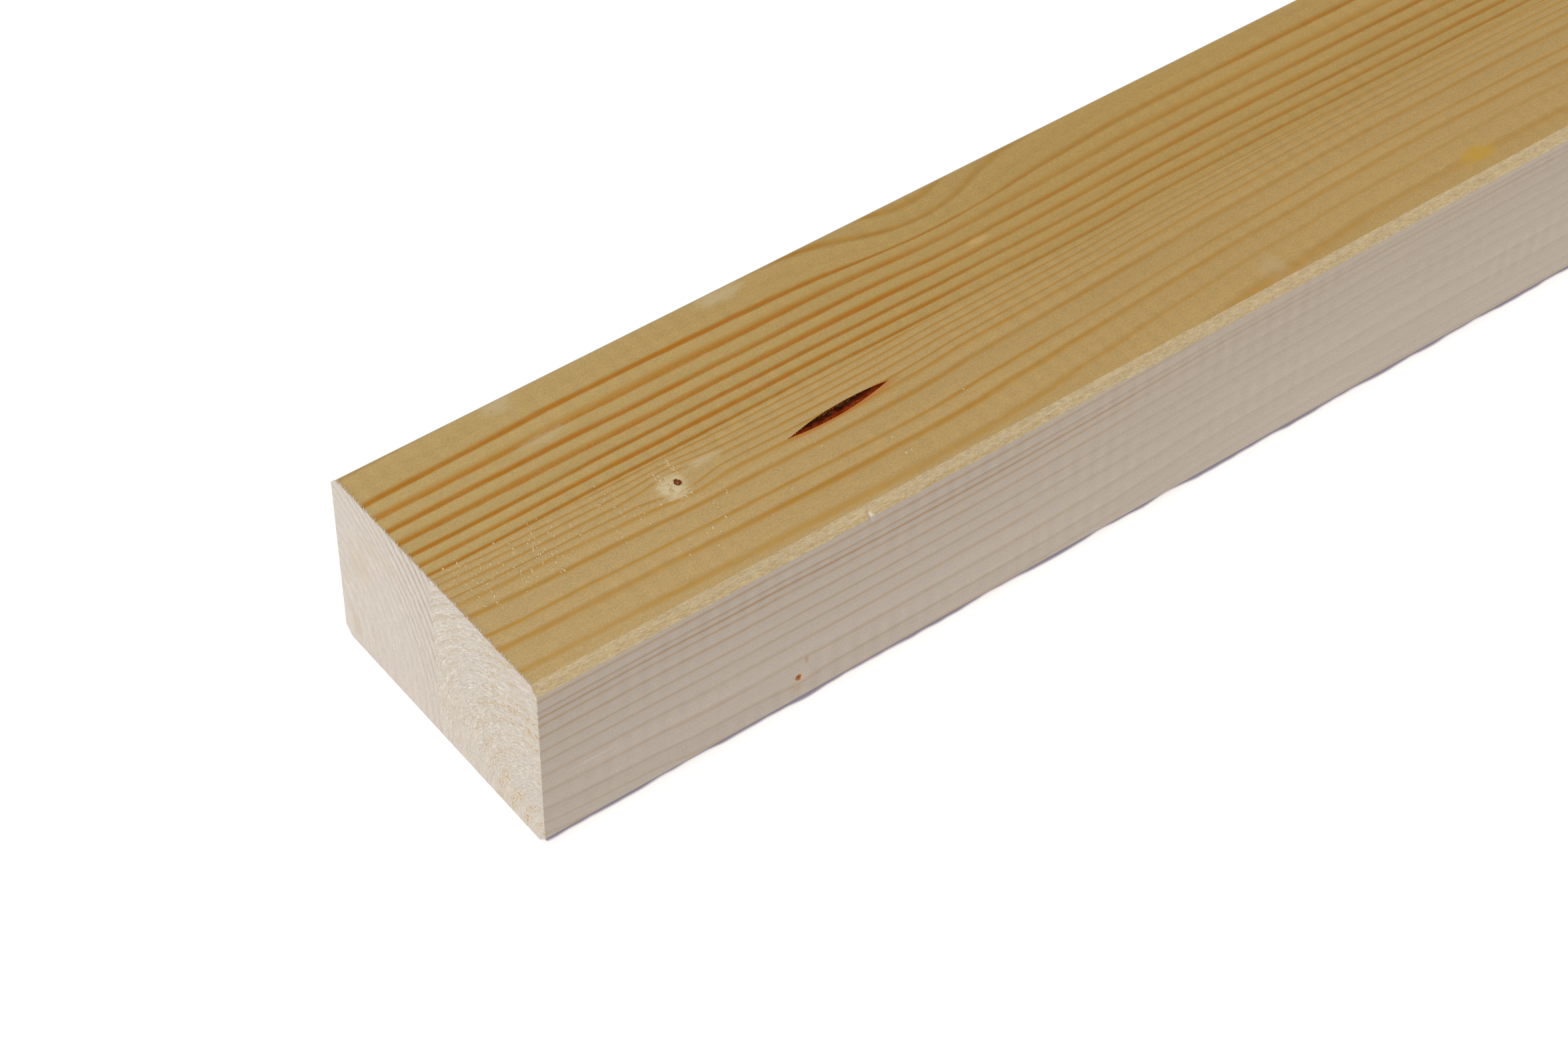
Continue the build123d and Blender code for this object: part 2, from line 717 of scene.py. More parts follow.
class Finish:
    """What every material of the wood starts from."""

    @staticmethod
    def begin(name: str) -> tuple[bpy.types.Material, Graph, bpy.types.Node]:
        """Makes a material with one Principled shader.

        Args:
            name: the material's name.

        Returns:
            The material, the graph of its nodes and its shader.
        """
        material = bpy.data.materials.new(name)
        material.use_nodes = True
        tree = material.node_tree
        shader = next(n for n in tree.nodes if n.type == "BSDF_PRINCIPLED")
        return material, Graph(tree), shader

    @staticmethod
    def dress(g: Graph, shader: bpy.types.Node, feeds: Feeds, height: Socket, depth: float,
              strength: float) -> None:
        """Feeds the shader, with a relief of so many millimetres' depth as its normal."""
        bump = g.node("Bump", {"Height": height, "Distance": depth * MM, "Strength": strength})
        g.feed(shader, {**feeds, "Normal": bump.outputs[0]})

    @staticmethod
    def placed(g: Graph, tree: bpy.types.NodeTree, feeds: Feeds) -> bpy.types.NodeOutputs:
        """Puts a group into a material, and gives its outputs."""
        return g.node("Group", feeds, node_tree=tree).outputs

    @staticmethod
    def grown(g: Graph, growth: bpy.types.NodeTree) -> bpy.types.NodeOutputs:
        """The growth group's outputs at the point that is shaded."""
        return Finish.placed(g, growth, {"Position": g.node("TexCoord").outputs["Object"]})

    @staticmethod
    def spotted(g: Graph, effects: Effects, place: Socket, colour: Socket, spots: tuple[Spot, ...]) -> Socket:
        """Lays blotches over a colour.

        Args:
            g: the graph of the material.
            effects: the shared groups.
            place: the place on the plank, in millimetres.
            colour: the colour so far.
            spots: the blotches.

        Returns:
            The colour with the blotches in it.
        """
        if not spots:
            return colour
        coarse = g.swing(g.noise(place, (4.0, 1.6, 1.6), 3.0, 0.6), 2.2)
        fine = g.swing(g.noise(place, (1.2, 0.35, 0.35), 2.0), 1.3)
        ragged = g.math("ADD", coarse, fine)
        for spot in spots:
            feeds = {
                "Place": place, "Centre": spot.centre, "Reach": spot.reach, "Ragged": ragged,
                "Unevenness": spot.unevenness,
            }
            mask = Finish.placed(g, effects.patch, feeds)[0]
            colour = g.mix(g.product(mask, spot.strength), colour, spot.colour)
        return colour


@dataclass(frozen=True)
class PlanedFinish(Finish):
    """A planed face along the grain, or a chamfer cut by the same machine.

    Early, late and deep are the wood between the rings' lines, in them and in the darkest ones.
    The rings' contrast changes to its far share between the two places of blur. Far tint is what
    the colours are multiplied by far along the plank. Painted floor light is what they are
    multiplied by near the underside: a painted light, lighter and bluer, as thrown up from the floor.
    Sheen and threads is how much pale, oblique fibre shows as a painted sheen, with warm threads of
    the wood's own colour, as on a chamfer. A pocket given here bleeds resin into the wood round it.
    Pitch is that of the planer's ripples, and relief how deep the grain is.
    """

    name: str
    early: Colour
    late: Colour
    deep: Colour
    ring_contrast: float = 1.0
    far_contrast: float = 1.0
    blur: tuple[float, float] = (110.0, 170.0)
    streaks: float = 0.1
    felt: float = 0.22
    mottle: float = 0.08
    sheen_and_threads: float = 0.0
    painted_sheen_colour: Colour = srgb(224, 208, 172)
    far_tint: Colour = (1.0, 1.0, 1.0)
    painted_floor_light: Colour | None = None
    spots: tuple[Spot, ...] = ()
    knots: tuple[PinKnot, ...] = ()
    pocket: ResinPocket | None = None
    bled: Colour = srgb(180, 108, 30)
    bleed: float = 0.6
    pitch: float = 4.6
    roughness: float = 0.62
    specular: float = 0.12
    relief: float = 0.06

    def material(self, growth: bpy.types.NodeTree, effects: Effects) -> bpy.types.Material:
        """Builds the material.

        Args:
            growth: the group that knows the lamella's rings.
            effects: the shared groups.

        Returns:
            The finished material.
        """
        material, g, shader = self.begin(self.name)
        grown = self.grown(g, growth)
        place = grown["Place"]
        fibres = self.placed(g, effects.fibres, {"Place": place})
        planing = self.placed(g, effects.planing, {"Place": place, "Pitch": self.pitch})[0]
        late = self.lines(g, grown, fibres["Felt"])
        colour = g.mix(g.ease(late, 0.0, 0.6), self.early, self.late)
        colour = g.mix(g.ease(late, 0.4, 0.95), colour, self.deep)
        colour = g.tint(colour, self.lightness(g, grown, fibres, planing))
        x, y, z = g.split(place)
        colour = g.mix(g.ease(x, -40.0, 200.0), colour, g.vector("MULTIPLY", colour, self.far_tint))
        # Painted light: the face is made lighter and bluer near the underside, as if lit from the floor.
        if self.painted_floor_light:
            colour = g.mix(g.ease(z, 8.0, 38.0), g.vector("MULTIPLY", colour, self.painted_floor_light), colour)
        if self.sheen_and_threads:
            colour = self.add_sheen_and_threads(g, g.join(x, g.math("MULTIPLY_ADD", x, 0.07, y), z), colour)
        colour = self.spotted(g, effects, place, colour, self.spots)
        if self.pocket:
            colour = g.mix(g.product(self.bleeding(g, x, y), self.bleed), colour, self.bled)
        height = g.total(g.product(fibres["Height"], 0.4), g.product(planing, 0.25))
        colour, height = self.knotted(g, effects, place, colour, height)
        rough = g.total(self.roughness, g.product(fibres["Streaks"], 0.2), g.product(late, -0.08))
        feeds = {"Base Color": colour, "Roughness": rough, "Specular IOR Level": self.specular}
        self.dress(g, shader, feeds, height, self.relief, 0.9)
        return material

    def lines(self, g: Graph, grown: bpy.types.NodeOutputs, felt: Socket) -> Socket:
        """The rings' lines as this face shows them, worn in places and broken up by the cells.

        Args:
            g: the graph of the material.
            grown: what the growth group gives.
            felt: the felt of cells.

        Returns:
            A mask, 1 in the darkest lines.
        """
        worn = g.noise(grown["Place"], (30.0, 2.5, 2.5), 2.0, 0.6)
        x = g.split(grown["Place"])[0]
        contrast = g.spread(x, *self.blur, self.ring_contrast, self.ring_contrast * self.far_contrast)
        wear = g.total(g.spread(worn, 0.3, 0.7, 0.72, 1.12), g.product(felt, 2.2))
        return g.math("MULTIPLY", g.product(grown["Latewood"], contrast), wear, clamp=True)

    def lightness(self, g: Graph, grown: bpy.types.NodeOutputs, fibres: bpy.types.NodeOutputs,
                  planing: Socket) -> Socket:
        """How light the wood is beside its mean colour.

        Args:
            g: the graph of the material.
            grown: what the growth group gives.
            fibres: what the fibre group gives.
            planing: the planer's ripples.

        Returns:
            A factor about 1.
        """
        broad = g.noise(grown["Place"], (60.0, 12.0, 12.0), 2.0)
        fine = g.noise(grown["Place"], (3.0, 1.2, 1.2), 3.0, 0.65)
        return g.total(
            1.0,
            g.product(fibres["Streaks"], self.streaks),
            g.product(fibres["Felt"], self.felt),
            g.swing(broad, self.mottle),
            g.swing(fine, self.mottle * 1.6),
            g.swing(grown["Ring tone"], 0.04),
            g.product(g.math("SUBTRACT", 0.5, grown["Phase"]), 0.06),
            # Painted light and shade: the planer's ripples a little lighter on their crests and darker in
            # their troughs.
            g.product(planing, 0.024),
        )

    def add_sheen_and_threads(self, g: Graph, oblique: Socket, colour: Socket) -> Socket:
        """Lays pale threads, a painted sheen, and warm threads of the wood's own colour over a colour.

        Args:
            g: the graph of the material.
            oblique: the place, sheared so that the threads run a little across the plank.
            colour: the colour so far.

        Returns:
            The colour with the threads in it.
        """
        # Painted sheen: pale threads where the oblique fibres would catch the light.
        shine = g.ease(g.noise(oblique, (1.6, 0.16, 0.16), 3.0, 0.7), 0.4, 0.68)
        colour = g.mix(g.product(shine, self.sheen_and_threads), colour, self.painted_sheen_colour)
        glow = g.ease(g.noise(oblique, (3.0, 0.4, 0.4), 2.0, 0.6), 0.54, 0.7)
        return g.mix(g.product(glow, self.sheen_and_threads * 0.6), colour, self.late)

    def bleeding(self, g: Graph, x: Socket, y: Socket) -> Socket:
        """How much resin has soaked into the wood near the pocket, most of it past the far tip.

        Args:
            g: the graph of the material.
            x: the place along the plank, in millimetres.
            y: the place across it.

        Returns:
            A mask, 1 in the pocket and 0 well off it.
        """
        pocket = self.pocket
        off = g.math("SUBTRACT", x, pocket.x)
        middle = g.math("MULTIPLY_ADD", off, pocket.slant, pocket.y - 0.2 * pocket.width)
        along = g.math("DIVIDE", g.math("SUBTRACT", off, 1.0), pocket.length / 2)
        across = g.math("DIVIDE", g.math("SUBTRACT", y, middle), pocket.width / 2)
        return g.ease(g.length(g.join(along, across, 0.0)), 0.86, 1.24, 1.0, 0.0)

    def knotted(self, g: Graph, effects: Effects, place: Socket, colour: Socket,
                height: Socket) -> tuple[Socket, Socket]:
        """Adds the pin knots, with the paler wood round them.

        Args:
            g: the graph of the material.
            effects: the shared groups.
            place: the place on the plank, in millimetres.
            colour: the colour so far.
            height: the relief so far.

        Returns:
            The colour and the relief with the knots in them.
        """
        for knot in self.knots:
            masks = self.placed(g, effects.knot, {"Place": place, "Centre": knot.centre, "Size": knot.size})
            colour = g.mix(g.product(masks["Halo"], 0.35), colour, knot.halo)
            colour = g.mix(masks["Bark"], colour, knot.bark)
            colour = g.mix(g.product(masks["Heart"], 0.8), colour, knot.heart)
            height = g.math("SUBTRACT", height, g.product(masks["Bark"], 1.6))
        return colour, height


@dataclass(frozen=True)
class EndGrainFinish(Finish):
    """A sawn end: pale crushed fibre over the rings, with torn strokes along them that carry a painted
    highlight and a painted shade.

    Fuzz is how torn the fibres are, rays how much shows of the streaks that run out from the pith,
    and low line how much of the rings' contrast is left down at the underside. The noises here are
    laid out by the radius and the way round the pith, so their first size is across the rings and
    their second along them.
    """

    name: str
    base: Colour
    line: Colour
    shade: Colour
    pale: Colour
    fleck: Colour
    ring_contrast: float
    low_line: float
    fleck_strength: float
    fuzz: float
    rays: float
    spots: tuple[Spot, ...] = ()
    roughness: float = 0.85
    specular: float = 0.15
    relief: float = 0.16

    def material(self, growth: bpy.types.NodeTree, effects: Effects) -> bpy.types.Material:
        """Builds the material.

        Args:
            growth: the group that knows the lamella's rings.
            effects: the shared groups.

        Returns:
            The finished material.
        """
        material, g, shader = self.begin(self.name)
        grown = self.grown(g, growth)
        place, polar = grown["Place"], grown["Polar"]
        z = g.split(place)[2]
        strokes = g.noise(polar, (0.3, 1.9, 60.0), 3.0, 0.66, 0.8)
        threads = g.noise(polar, (0.14, 0.8, 60.0), 2.0, 0.6)
        cloud = g.noise(place, (30.0, 7.0, 7.0), 3.0, 0.6)
        grit = g.noise(place, (0.32, 0.3, 0.3), 2.0, 0.7)
        colour = g.mix(self.bands(g, grown, cloud), self.base, self.line)
        colour = self.torn(g, place, strokes, colour)
        colour = g.mix(self.flecks(g, grown), colour, self.fleck)
        light = g.total(
            1.0,
            g.swing(threads, 0.2 * self.fuzz),
            g.swing(g.noise(polar, (0.9, 6.0, 60.0), 2.0, 0.6, 0.4), 0.16 * self.fuzz),
            g.swing(g.noise(polar, (2.4, 0.3, 60.0), 2.0, 0.6), self.rays),
            g.swing(cloud, 0.12),
            # Painted light from the floor: a little lighter near the underside.
            g.ease(z, 0.0, 12.0, 0.025, 0.0),
            g.swing(grit, 0.14),
        )
        colour = self.spotted(g, effects, place, g.tint(colour, light), self.spots)
        height = g.total(g.product(strokes, self.fuzz * 1.4), threads, g.product(grit, 0.7))
        feeds = {"Base Color": colour, "Roughness": self.roughness, "Specular IOR Level": self.specular}
        self.dress(g, shader, feeds, height, self.relief, 0.9)
        return material

    def bands(self, g: Graph, grown: bpy.types.NodeOutputs, cloud: Socket) -> Socket:
        """The rings' dark bands, which fade towards the pith and the underside.

        Args:
            g: the graph of the material.
            grown: what the growth group gives.
            cloud: a broad unevenness.

        Returns:
            A mask, 1 in the darkest bands.
        """
        phase = grown["Phase"]
        band = g.product(g.ease(phase, 0.4, 0.86), g.ease(phase, 0.88, 1.0, 1.0, 0.0))
        low = g.ease(g.split(grown["Place"])[2], 2.0, 30.0, self.low_line, 1.0)
        outer = g.spread(g.split(grown["Polar"])[0], 40.0, 58.0, 0.2, 1.0)
        return g.product(band, low, outer, g.spread(cloud, 0.35, 0.65, 0.5, 1.2), self.ring_contrast)

    def torn(self, g: Graph, place: Socket, strokes: Socket, colour: Socket) -> Socket:
        """Lays the torn fibres' dull and bright strokes over a colour: painted shade on the dull ones and a
        painted highlight on the bright ones.

        Args:
            g: the graph of the material.
            place: the place on the plank, in millimetres.
            strokes: the strokes' pattern.
            colour: the colour so far.

        Returns:
            The colour with the strokes in it.
        """
        uneven = g.noise(place, (30.0, 5.0, 5.0), 2.0, 0.6)
        rising = g.ease(g.split(place)[2], 0.0, 14.0, 0.4, 1.0)
        amount = g.product(rising, g.spread(uneven, 0.35, 0.65, 0.45, 1.1), self.fuzz)
        # Painted shade in the dull strokes, and a painted highlight in the bright ones.
        dull = g.ease(strokes, 0.36, 0.5, 1.0, 0.0)
        colour = g.mix(g.product(dull, amount, 0.66), colour, self.shade)
        bright = g.ease(strokes, 0.5, 0.62)
        return g.mix(g.product(bright, amount, 0.85), colour, self.pale)

    def flecks(self, g: Graph, grown: bpy.types.NodeOutputs) -> Socket:
        """The amber crumbs of latewood that the saw left in the lines, most of them near the front.

        Args:
            g: the graph of the material.
            grown: what the growth group gives.

        Returns:
            A mask, 1 on a crumb.
        """
        phase, place = grown["Phase"], grown["Place"]
        seam = g.product(g.ease(phase, 0.2, 0.7, 0.15, 1.0), g.ease(phase, 0.92, 1.0, 1.0, 0.15))
        crumbs = g.ease(g.noise(grown["Polar"], (0.42, 1.1, 60.0), 2.0, 0.6), 0.5, 0.62)
        patchy = g.ease(g.noise(place, (30.0, 9.0, 9.0), 1.0), 0.36, 0.6)
        frontal = g.spread(g.split(place)[1], 8.0, 26.0, 1.3, 0.45)
        return g.math("MULTIPLY", g.product(crumbs, seam, patchy, frontal), self.fleck_strength, clamp=True)


@dataclass(frozen=True)
class SplinterFinish(Finish):
    """Torn fibres: pale, dry and a little uneven along their length."""

    name: str
    pale: Colour
    shade: Colour
    roughness: float = 0.8
    specular: float = 0.2
    relief: float = 0.02

    def material(self) -> bpy.types.Material:
        """Builds the material.

        Returns:
            The finished material.
        """
        material, g, shader = self.begin(self.name)
        place = g.node("TexCoord").outputs["Object"]
        patchy = g.noise(place, (0.8 * MM, 0.5 * MM, 0.5 * MM), 2.0, 0.6)
        grit = g.noise(place, (0.2 * MM, 0.2 * MM, 0.2 * MM), 1.0)
        colour = g.mix(g.ease(patchy, 0.35, 0.65), self.shade, self.pale)
        feeds = {"Base Color": colour, "Roughness": self.roughness, "Specular IOR Level": self.specular}
        self.dress(g, shader, feeds, grit, self.relief, 0.6)
        return material


@dataclass(frozen=True)
class ResinFinish(Finish):
    """Old resin in the pocket: amber at its front rim, then red-brown, near black, and bare wood behind, with
    painted glints.
    """

    name: str
    dark: Colour = srgb(50, 19, 5)
    red: Colour = srgb(158, 58, 5)
    amber: Colour = srgb(206, 120, 34)
    painted_glint: Colour = srgb(204, 166, 124)
    wood: Colour = srgb(112, 66, 28)
    dull: Colour = (0.45, 0.32, 0.3)
    specular: float = 0.06
    relief: float = 0.25

    def material(self, pocket: ResinPocket, stock: Stock) -> bpy.types.Material:
        """Builds the material.

        Args:
            pocket: the pocket that the resin lies in.
            stock: the plank's sizes.

        Returns:
            The finished material.
        """
        material, g, shader = self.begin(self.name)
        place = g.on_plank(g.node("TexCoord").outputs["Object"], stock)
        x, y, _ = g.split(place)
        rough = g.noise(place, (1.6, 0.5, 0.5), 3.0, 0.65)
        middle = g.math("MULTIPLY_ADD", g.math("SUBTRACT", x, pocket.x), pocket.slant, pocket.y)
        across = g.math("DIVIDE", g.math("SUBTRACT", y, middle), pocket.width / 2)
        uneven = g.math("ADD", across, g.swing(rough, 2.2))
        colour = g.mix(g.ease(uneven, -0.95, -0.6), self.amber, self.red)
        colour = g.mix(g.ease(rough, 0.42, 0.58), g.vector("MULTIPLY", colour, self.dull), colour)
        colour = g.mix(g.ease(uneven, 0.15, 0.7), colour, self.dark)
        # Painted glints: pale specks standing in for light caught on the glossy resin.
        glint = g.ease(g.noise(place, (0.7, 0.4, 0.4), 1.0), 0.73, 0.8)
        colour = g.mix(g.product(glint, 0.8), colour, self.painted_glint)
        ragged = g.math("SUBTRACT", g.noise(place, (0.6, 0.25, 0.25), 2.0), 0.5)
        bare = g.ease(g.math("MULTIPLY_ADD", ragged, 1.1, across), 0.82, 0.94)
        feeds = {
            "Base Color": g.mix(bare, colour, self.wood), "Roughness": g.spread(rough, 0.3, 0.7, 0.45, 0.75),
            "Specular IOR Level": self.specular,
        }
        self.dress(g, shader, feeds, rough, self.relief, 0.5)
        return material


@dataclass(frozen=True)
class Dent:
    """A small hollow in the skin: its middle, its reach and its depth, in millimetres."""

    centre: Point
    reach: Point
    depth: float


@dataclass
class Lamella:
    """One of the plank's two boards, as a closed skin with finer cells where the detail is.

    Its section is laid out from the outer face, a = 0, to the glue line. The spans are pairs of an
    end and a step in millimetres, which set where the rows and columns of its cells run. The pocket
    columns are lines of cells across the pocket, from -1 at its front rim to 1 at its back rim and a
    little past both. Saw mark is how deep the saw's roughness goes into the ends, in millimetres.
    """

    node: str
    stock: Stock
    outer_y: float
    finishes: dict[Face, bpy.types.Material]
    pocket: ResinPocket | None = None
    dents: tuple[Dent, ...] = ()
    rows: tuple[tuple[float, float], ...] = ((1.0, 0.5), (300.0, 3.0), (750.0, 15.0), (1200.0, 15.0))
    across: tuple[tuple[float, float], ...] = ()
    upward: tuple[tuple[float, float], ...] = ()
    chamfer_cells: int = 4
    saw_mark: float = 0.07
    pocket_columns: tuple[float, ...] = (-1.5, -1.2, -1.0, -0.93, -0.82, -0.6, -0.3, 0.0, 0.3, 0.6, 0.82,
                                         0.93, 1.0, 1.2, 1.5)

    # Faces that meet at more than this angle, in degrees, keep a sharp edge between them.
    SHARP_DEG = 28.0
    # A dent leaves the skin alone from this many times its reach.
    DENT_END = 1.9

    def __post_init__(self) -> None:
        """Works out the lines of the section's grid."""
        self.inward = 1 if self.outer_y < self.stock.glue_line else -1
        self.width = abs(self.stock.glue_line - self.outer_y) / MM
        self.chamfer = self.stock.chamfer / MM
        self.height = self.stock.thickness_mm
        cells = np.linspace(0, self.chamfer, self.chamfer_cells + 1)
        self.a_lines = self.spaced(cells, self.across, self.width)
        self.z_lines = self.spaced(cells, self.upward, self.height - self.chamfer)
        self.z_lines = np.concatenate([self.z_lines, self.height - cells[::-1][1:]])
        self.x_lines = self.spaced(np.array([0.0]), self.rows, self.stock.length_mm)

    @staticmethod
    def spaced(first: np.ndarray, spans: tuple[tuple[float, float], ...], end: float) -> np.ndarray:
        """Grid lines that go on from the first ones.

        Args:
            first: the lines that are there already.
            spans: pairs of where a span ends and its step.
            end: where the last span ends, whatever it says.

        Returns:
            All the lines, in order.
        """
        lines = [first]
        at = first[-1]
        for stop, step in spans:
            stop = end if (stop, step) == spans[-1] else stop
            count = max(1, round((stop - at) / step))
            lines.append(np.linspace(at, stop, count + 1)[1:])
            at = stop
        return np.concatenate(lines)

    def outline(self) -> tuple[list[tuple[int, int]], list[Face]]:
        """The section's outline as crossings of its grid lines.

        Returns:
            The crossings in order from the glue line's foot, and the kind of face after each.
        """
        n, last_a, last_z = self.chamfer_cells, len(self.a_lines) - 1, len(self.z_lines) - 1
        runs = [
            ([(k, 0) for k in range(last_a, n, -1)], Face.PLANED),
            ([(k, n - k) for k in range(n, 0, -1)], Face.CHAMFER),
            ([(0, m) for m in range(n, last_z - n)], Face.SIDE),
            ([(k, last_z - n + k) for k in range(n)], Face.CHAMFER),
            ([(k, last_z) for k in range(n, last_a)], Face.PLANED),
            ([(last_a, m) for m in range(last_z, 0, -1)], Face.GLUED),
        ]
        points = [point for run, _ in runs for point in run]
        kinds = [kind for run, kind in runs for _ in run]
        return points, kinds

    def skin(self, points: list[tuple[int, int]]) -> np.ndarray:
        """The points of the skin along the whole length.

        Args:
            points: the outline's crossings.

        Returns:
            An array of rows by outline points by a, z and x, in millimetres.
        """
        rows, last_z = len(self.x_lines), len(self.z_lines) - 1
        a = np.array([self.a_lines[k] for k, _ in points])
        z = np.array([self.z_lines[m] for _, m in points])
        out = np.empty((rows, len(points), 3))
        out[..., 0], out[..., 1], out[..., 2] = a, z, self.x_lines[:, None]
        self.hollow = np.zeros(out.shape[:2], bool)
        if self.pocket:
            self.cut_pocket(out, points, last_z)
        for dent in self.dents:
            self.press(out, dent)
        return out

    def cut_pocket(self, out: np.ndarray, points: list[tuple[int, int]], last_z: int) -> None:
        """Draws the pocket's columns in to its rim and presses its floor down.

        Args:
            out: the skin's points, which are moved.
            points: the outline's crossings.
            last_z: the number of the topmost grid line.
        """
        columns = np.array(self.pocket_columns)
        rest = self.pocket.y + columns * self.pocket.width / 2
        x = self.x_lines
        middle, half = self.pocket.centre_y(x), self.pocket.half_width(x)
        inside = np.abs(x - self.pocket.x) < self.pocket.length / 2
        for j, (k, m) in enumerate(points):
            match = np.flatnonzero(np.abs(rest - self.a_lines[k]) < 1e-6)
            if m != last_z or not len(match):
                continue
            across = columns[match[0]]
            out[:, j, 0] = middle + across * half
            depth = self.pocket.depth_at(x, np.full(len(x), across))
            for i in np.flatnonzero(inside & (abs(across) < 1)):
                bumps = noise.fractal(Vector((x[i] * 0.5, across * 1.3, 7.0)), 0.6, 2.2, 4)
                out[i, j, 1] -= depth[i] * (0.85 + 0.45 * bumps)
            self.hollow[inside, j] = abs(across) < 1

    def press(self, out: np.ndarray, dent: Dent) -> None:
        """Presses a dent into the skin.

        Args:
            out: the skin's points, which are moved.
            dent: the dent.
        """
        y = out[..., 0] if self.inward == 1 else self.stock.width_mm - out[..., 0]
        place = np.stack([out[..., 2], y, out[..., 1]], -1)
        near = np.linalg.norm((place - dent.centre) / dent.reach, axis=-1)
        push = dent.depth * np.exp(-(near ** 4))
        push[(near > self.DENT_END) | (out[..., 0] > self.width - 0.01)] = 0
        on_top = out[..., 1] > self.height - self.chamfer
        on_side = out[..., 0] < self.chamfer
        out[..., 1] -= push * on_top
        out[..., 0] += push * on_side

    def cap(self, points: list[tuple[int, int]], x: float, outward: int, first: int, row: int
            ) -> tuple[np.ndarray, list[tuple[int, ...]]]:
        """One sawn end, on the same grid as the outline.

        Args:
            points: the outline's crossings.
            x: where the end is.
            outward: -1 at the near end and 1 at the far end.
            first: the number of the first new vertex.
            row: the skin's row that the end closes.

        Returns:
            The new points inside the outline, as a, z and x, and the end's faces.
        """
        n, top = self.chamfer_cells, len(self.z_lines) - 1
        number = {point: row * len(points) + j for j, point in enumerate(points)}
        inner = []
        for k in range(len(self.a_lines)):
            for m in range(len(self.z_lines)):
                if k + min(m, top - m) > n and 0 < k < len(self.a_lines) - 1 and 0 < m < top:
                    number[k, m] = first + len(inner)
                    inner.append((self.a_lines[k], self.z_lines[m], x))
        faces = []
        for k in range(len(self.a_lines) - 1):
            for m in range(top):
                corners = [(k, m), (k + 1, m), (k + 1, m + 1), (k, m + 1)]
                kept = [number[c] for c in corners if c in number]
                if len(kept) >= 3:
                    faces.append(tuple(kept[::outward]))
        made = np.array(inner)
        rough = [noise.fractal(Vector((a * 0.9, z * 2.2, outward * 5.0)), 0.8, 2.1, 4) for a, z, _ in inner]
        made[:, 2] -= outward * np.abs(rough) * self.saw_mark
        return made, faces

    def build(self) -> bpy.types.Object:
        """Makes the mesh.

        Returns:
            The dressed board, in the frame's metres.
        """
        points, kinds = self.outline()
        skin = self.skin(points)
        rows, columns = skin.shape[:2]
        i, j = np.meshgrid(np.arange(rows - 1), np.arange(columns), indexing="ij")
        j_next = (j + 1) % columns
        quads = np.stack([i * columns + j, i * columns + j_next, (i + 1) * columns + j_next,
                          (i + 1) * columns + j], -1).reshape(-1, 4)
        kind = np.array([k.value for k in kinds])[j]
        sunk = self.hollow[i, j] | self.hollow[i, j_next] | self.hollow[i + 1, j] | self.hollow[i + 1, j_next]
        kind = np.where(sunk, Face.RESIN.value, kind).ravel()
        flat = skin.reshape(-1, 3)
        near, near_faces = self.cap(points, 0.0, -1, len(flat), 0)
        far, far_faces = self.cap(points, self.stock.length_mm, 1, len(flat) + len(near), rows - 1)
        places = np.concatenate([flat, near, far])
        faces = [tuple(q) for q in quads.tolist()] + near_faces + far_faces
        kind = np.concatenate([kind, np.full(len(near_faces) + len(far_faces), Face.END.value)])
        metres = np.empty_like(places)
        metres[:, 0] = self.stock.near_end + places[:, 2] * MM
        metres[:, 1] = self.outer_y + self.inward * places[:, 0] * MM
        metres[:, 2] = places[:, 1] * MM
        mesh = bpy.data.meshes.new(self.node + "_wood")
        mesh.from_pydata(metres.tolist(), [], faces)
        mesh.polygons.foreach_set("material_index", kind.astype(np.int32))
        for face in Face:
            mesh.materials.append(self.finishes[face])
        self.unwrap(mesh, points, len(quads), len(near_faces))
        self.face_outwards(mesh)
        mesh.polygons.foreach_set("use_smooth", np.ones(len(mesh.polygons), bool))
        mesh.set_sharp_from_angle(angle=math.radians(self.SHARP_DEG))
        return add_object(self.node + "_wood", mesh)

    @staticmethod
    def face_outwards(mesh: bpy.types.Mesh) -> None:
        """Turns all faces of the closed mesh outwards.

        Args:
            mesh: the board's mesh.
        """
        work = bmesh.new()
        work.from_mesh(mesh)
        bmesh.ops.recalc_face_normals(work, faces=work.faces)
        work.to_mesh(mesh)
        work.free()

    def unwrap(self, mesh: bpy.types.Mesh, points: list[tuple[int, int]], quads: int,
               near_faces: int) -> None:
        """Lays the board out flat for baking, with most of the room for the end that is seen close up.

        Args:
            mesh: the board's mesh.
            points: the outline's crossings.
            quads: how many faces the skin has, which come first.
            near_faces: how many faces the near end has, which come next.
        """
        corner = np.empty(len(mesh.loops), np.int64)
        mesh.loops.foreach_get("vertex_index", corner)
        starts = np.empty(len(mesh.polygons), np.int64)
        mesh.polygons.foreach_get("loop_start", starts)
        places = np.empty(len(mesh.vertices) * 3)
        mesh.vertices.foreach_get("co", places)
        places = places.reshape(-1, 3)
        uv = np.zeros((len(corner), 2))
        columns = len(points)
        run = np.array([(self.a_lines[k], self.z_lines[m]) for k, m in points + points[:1]])
        girth = np.concatenate([[0.0], np.cumsum(np.linalg.norm(np.diff(run, axis=0), axis=1))])
        seen = girth[-1] - self.height
        loops = corner[: quads * 4].reshape(-1, 4)
        row, column = loops // columns, loops % columns
        wrapped = (column == 0) & (column.max(1, keepdims=True) == columns - 1)
        girth_at = girth[np.where(wrapped, columns, column)]
        x = self.x_lines[row]
        middle_x = x.mean(1, keepdims=True)
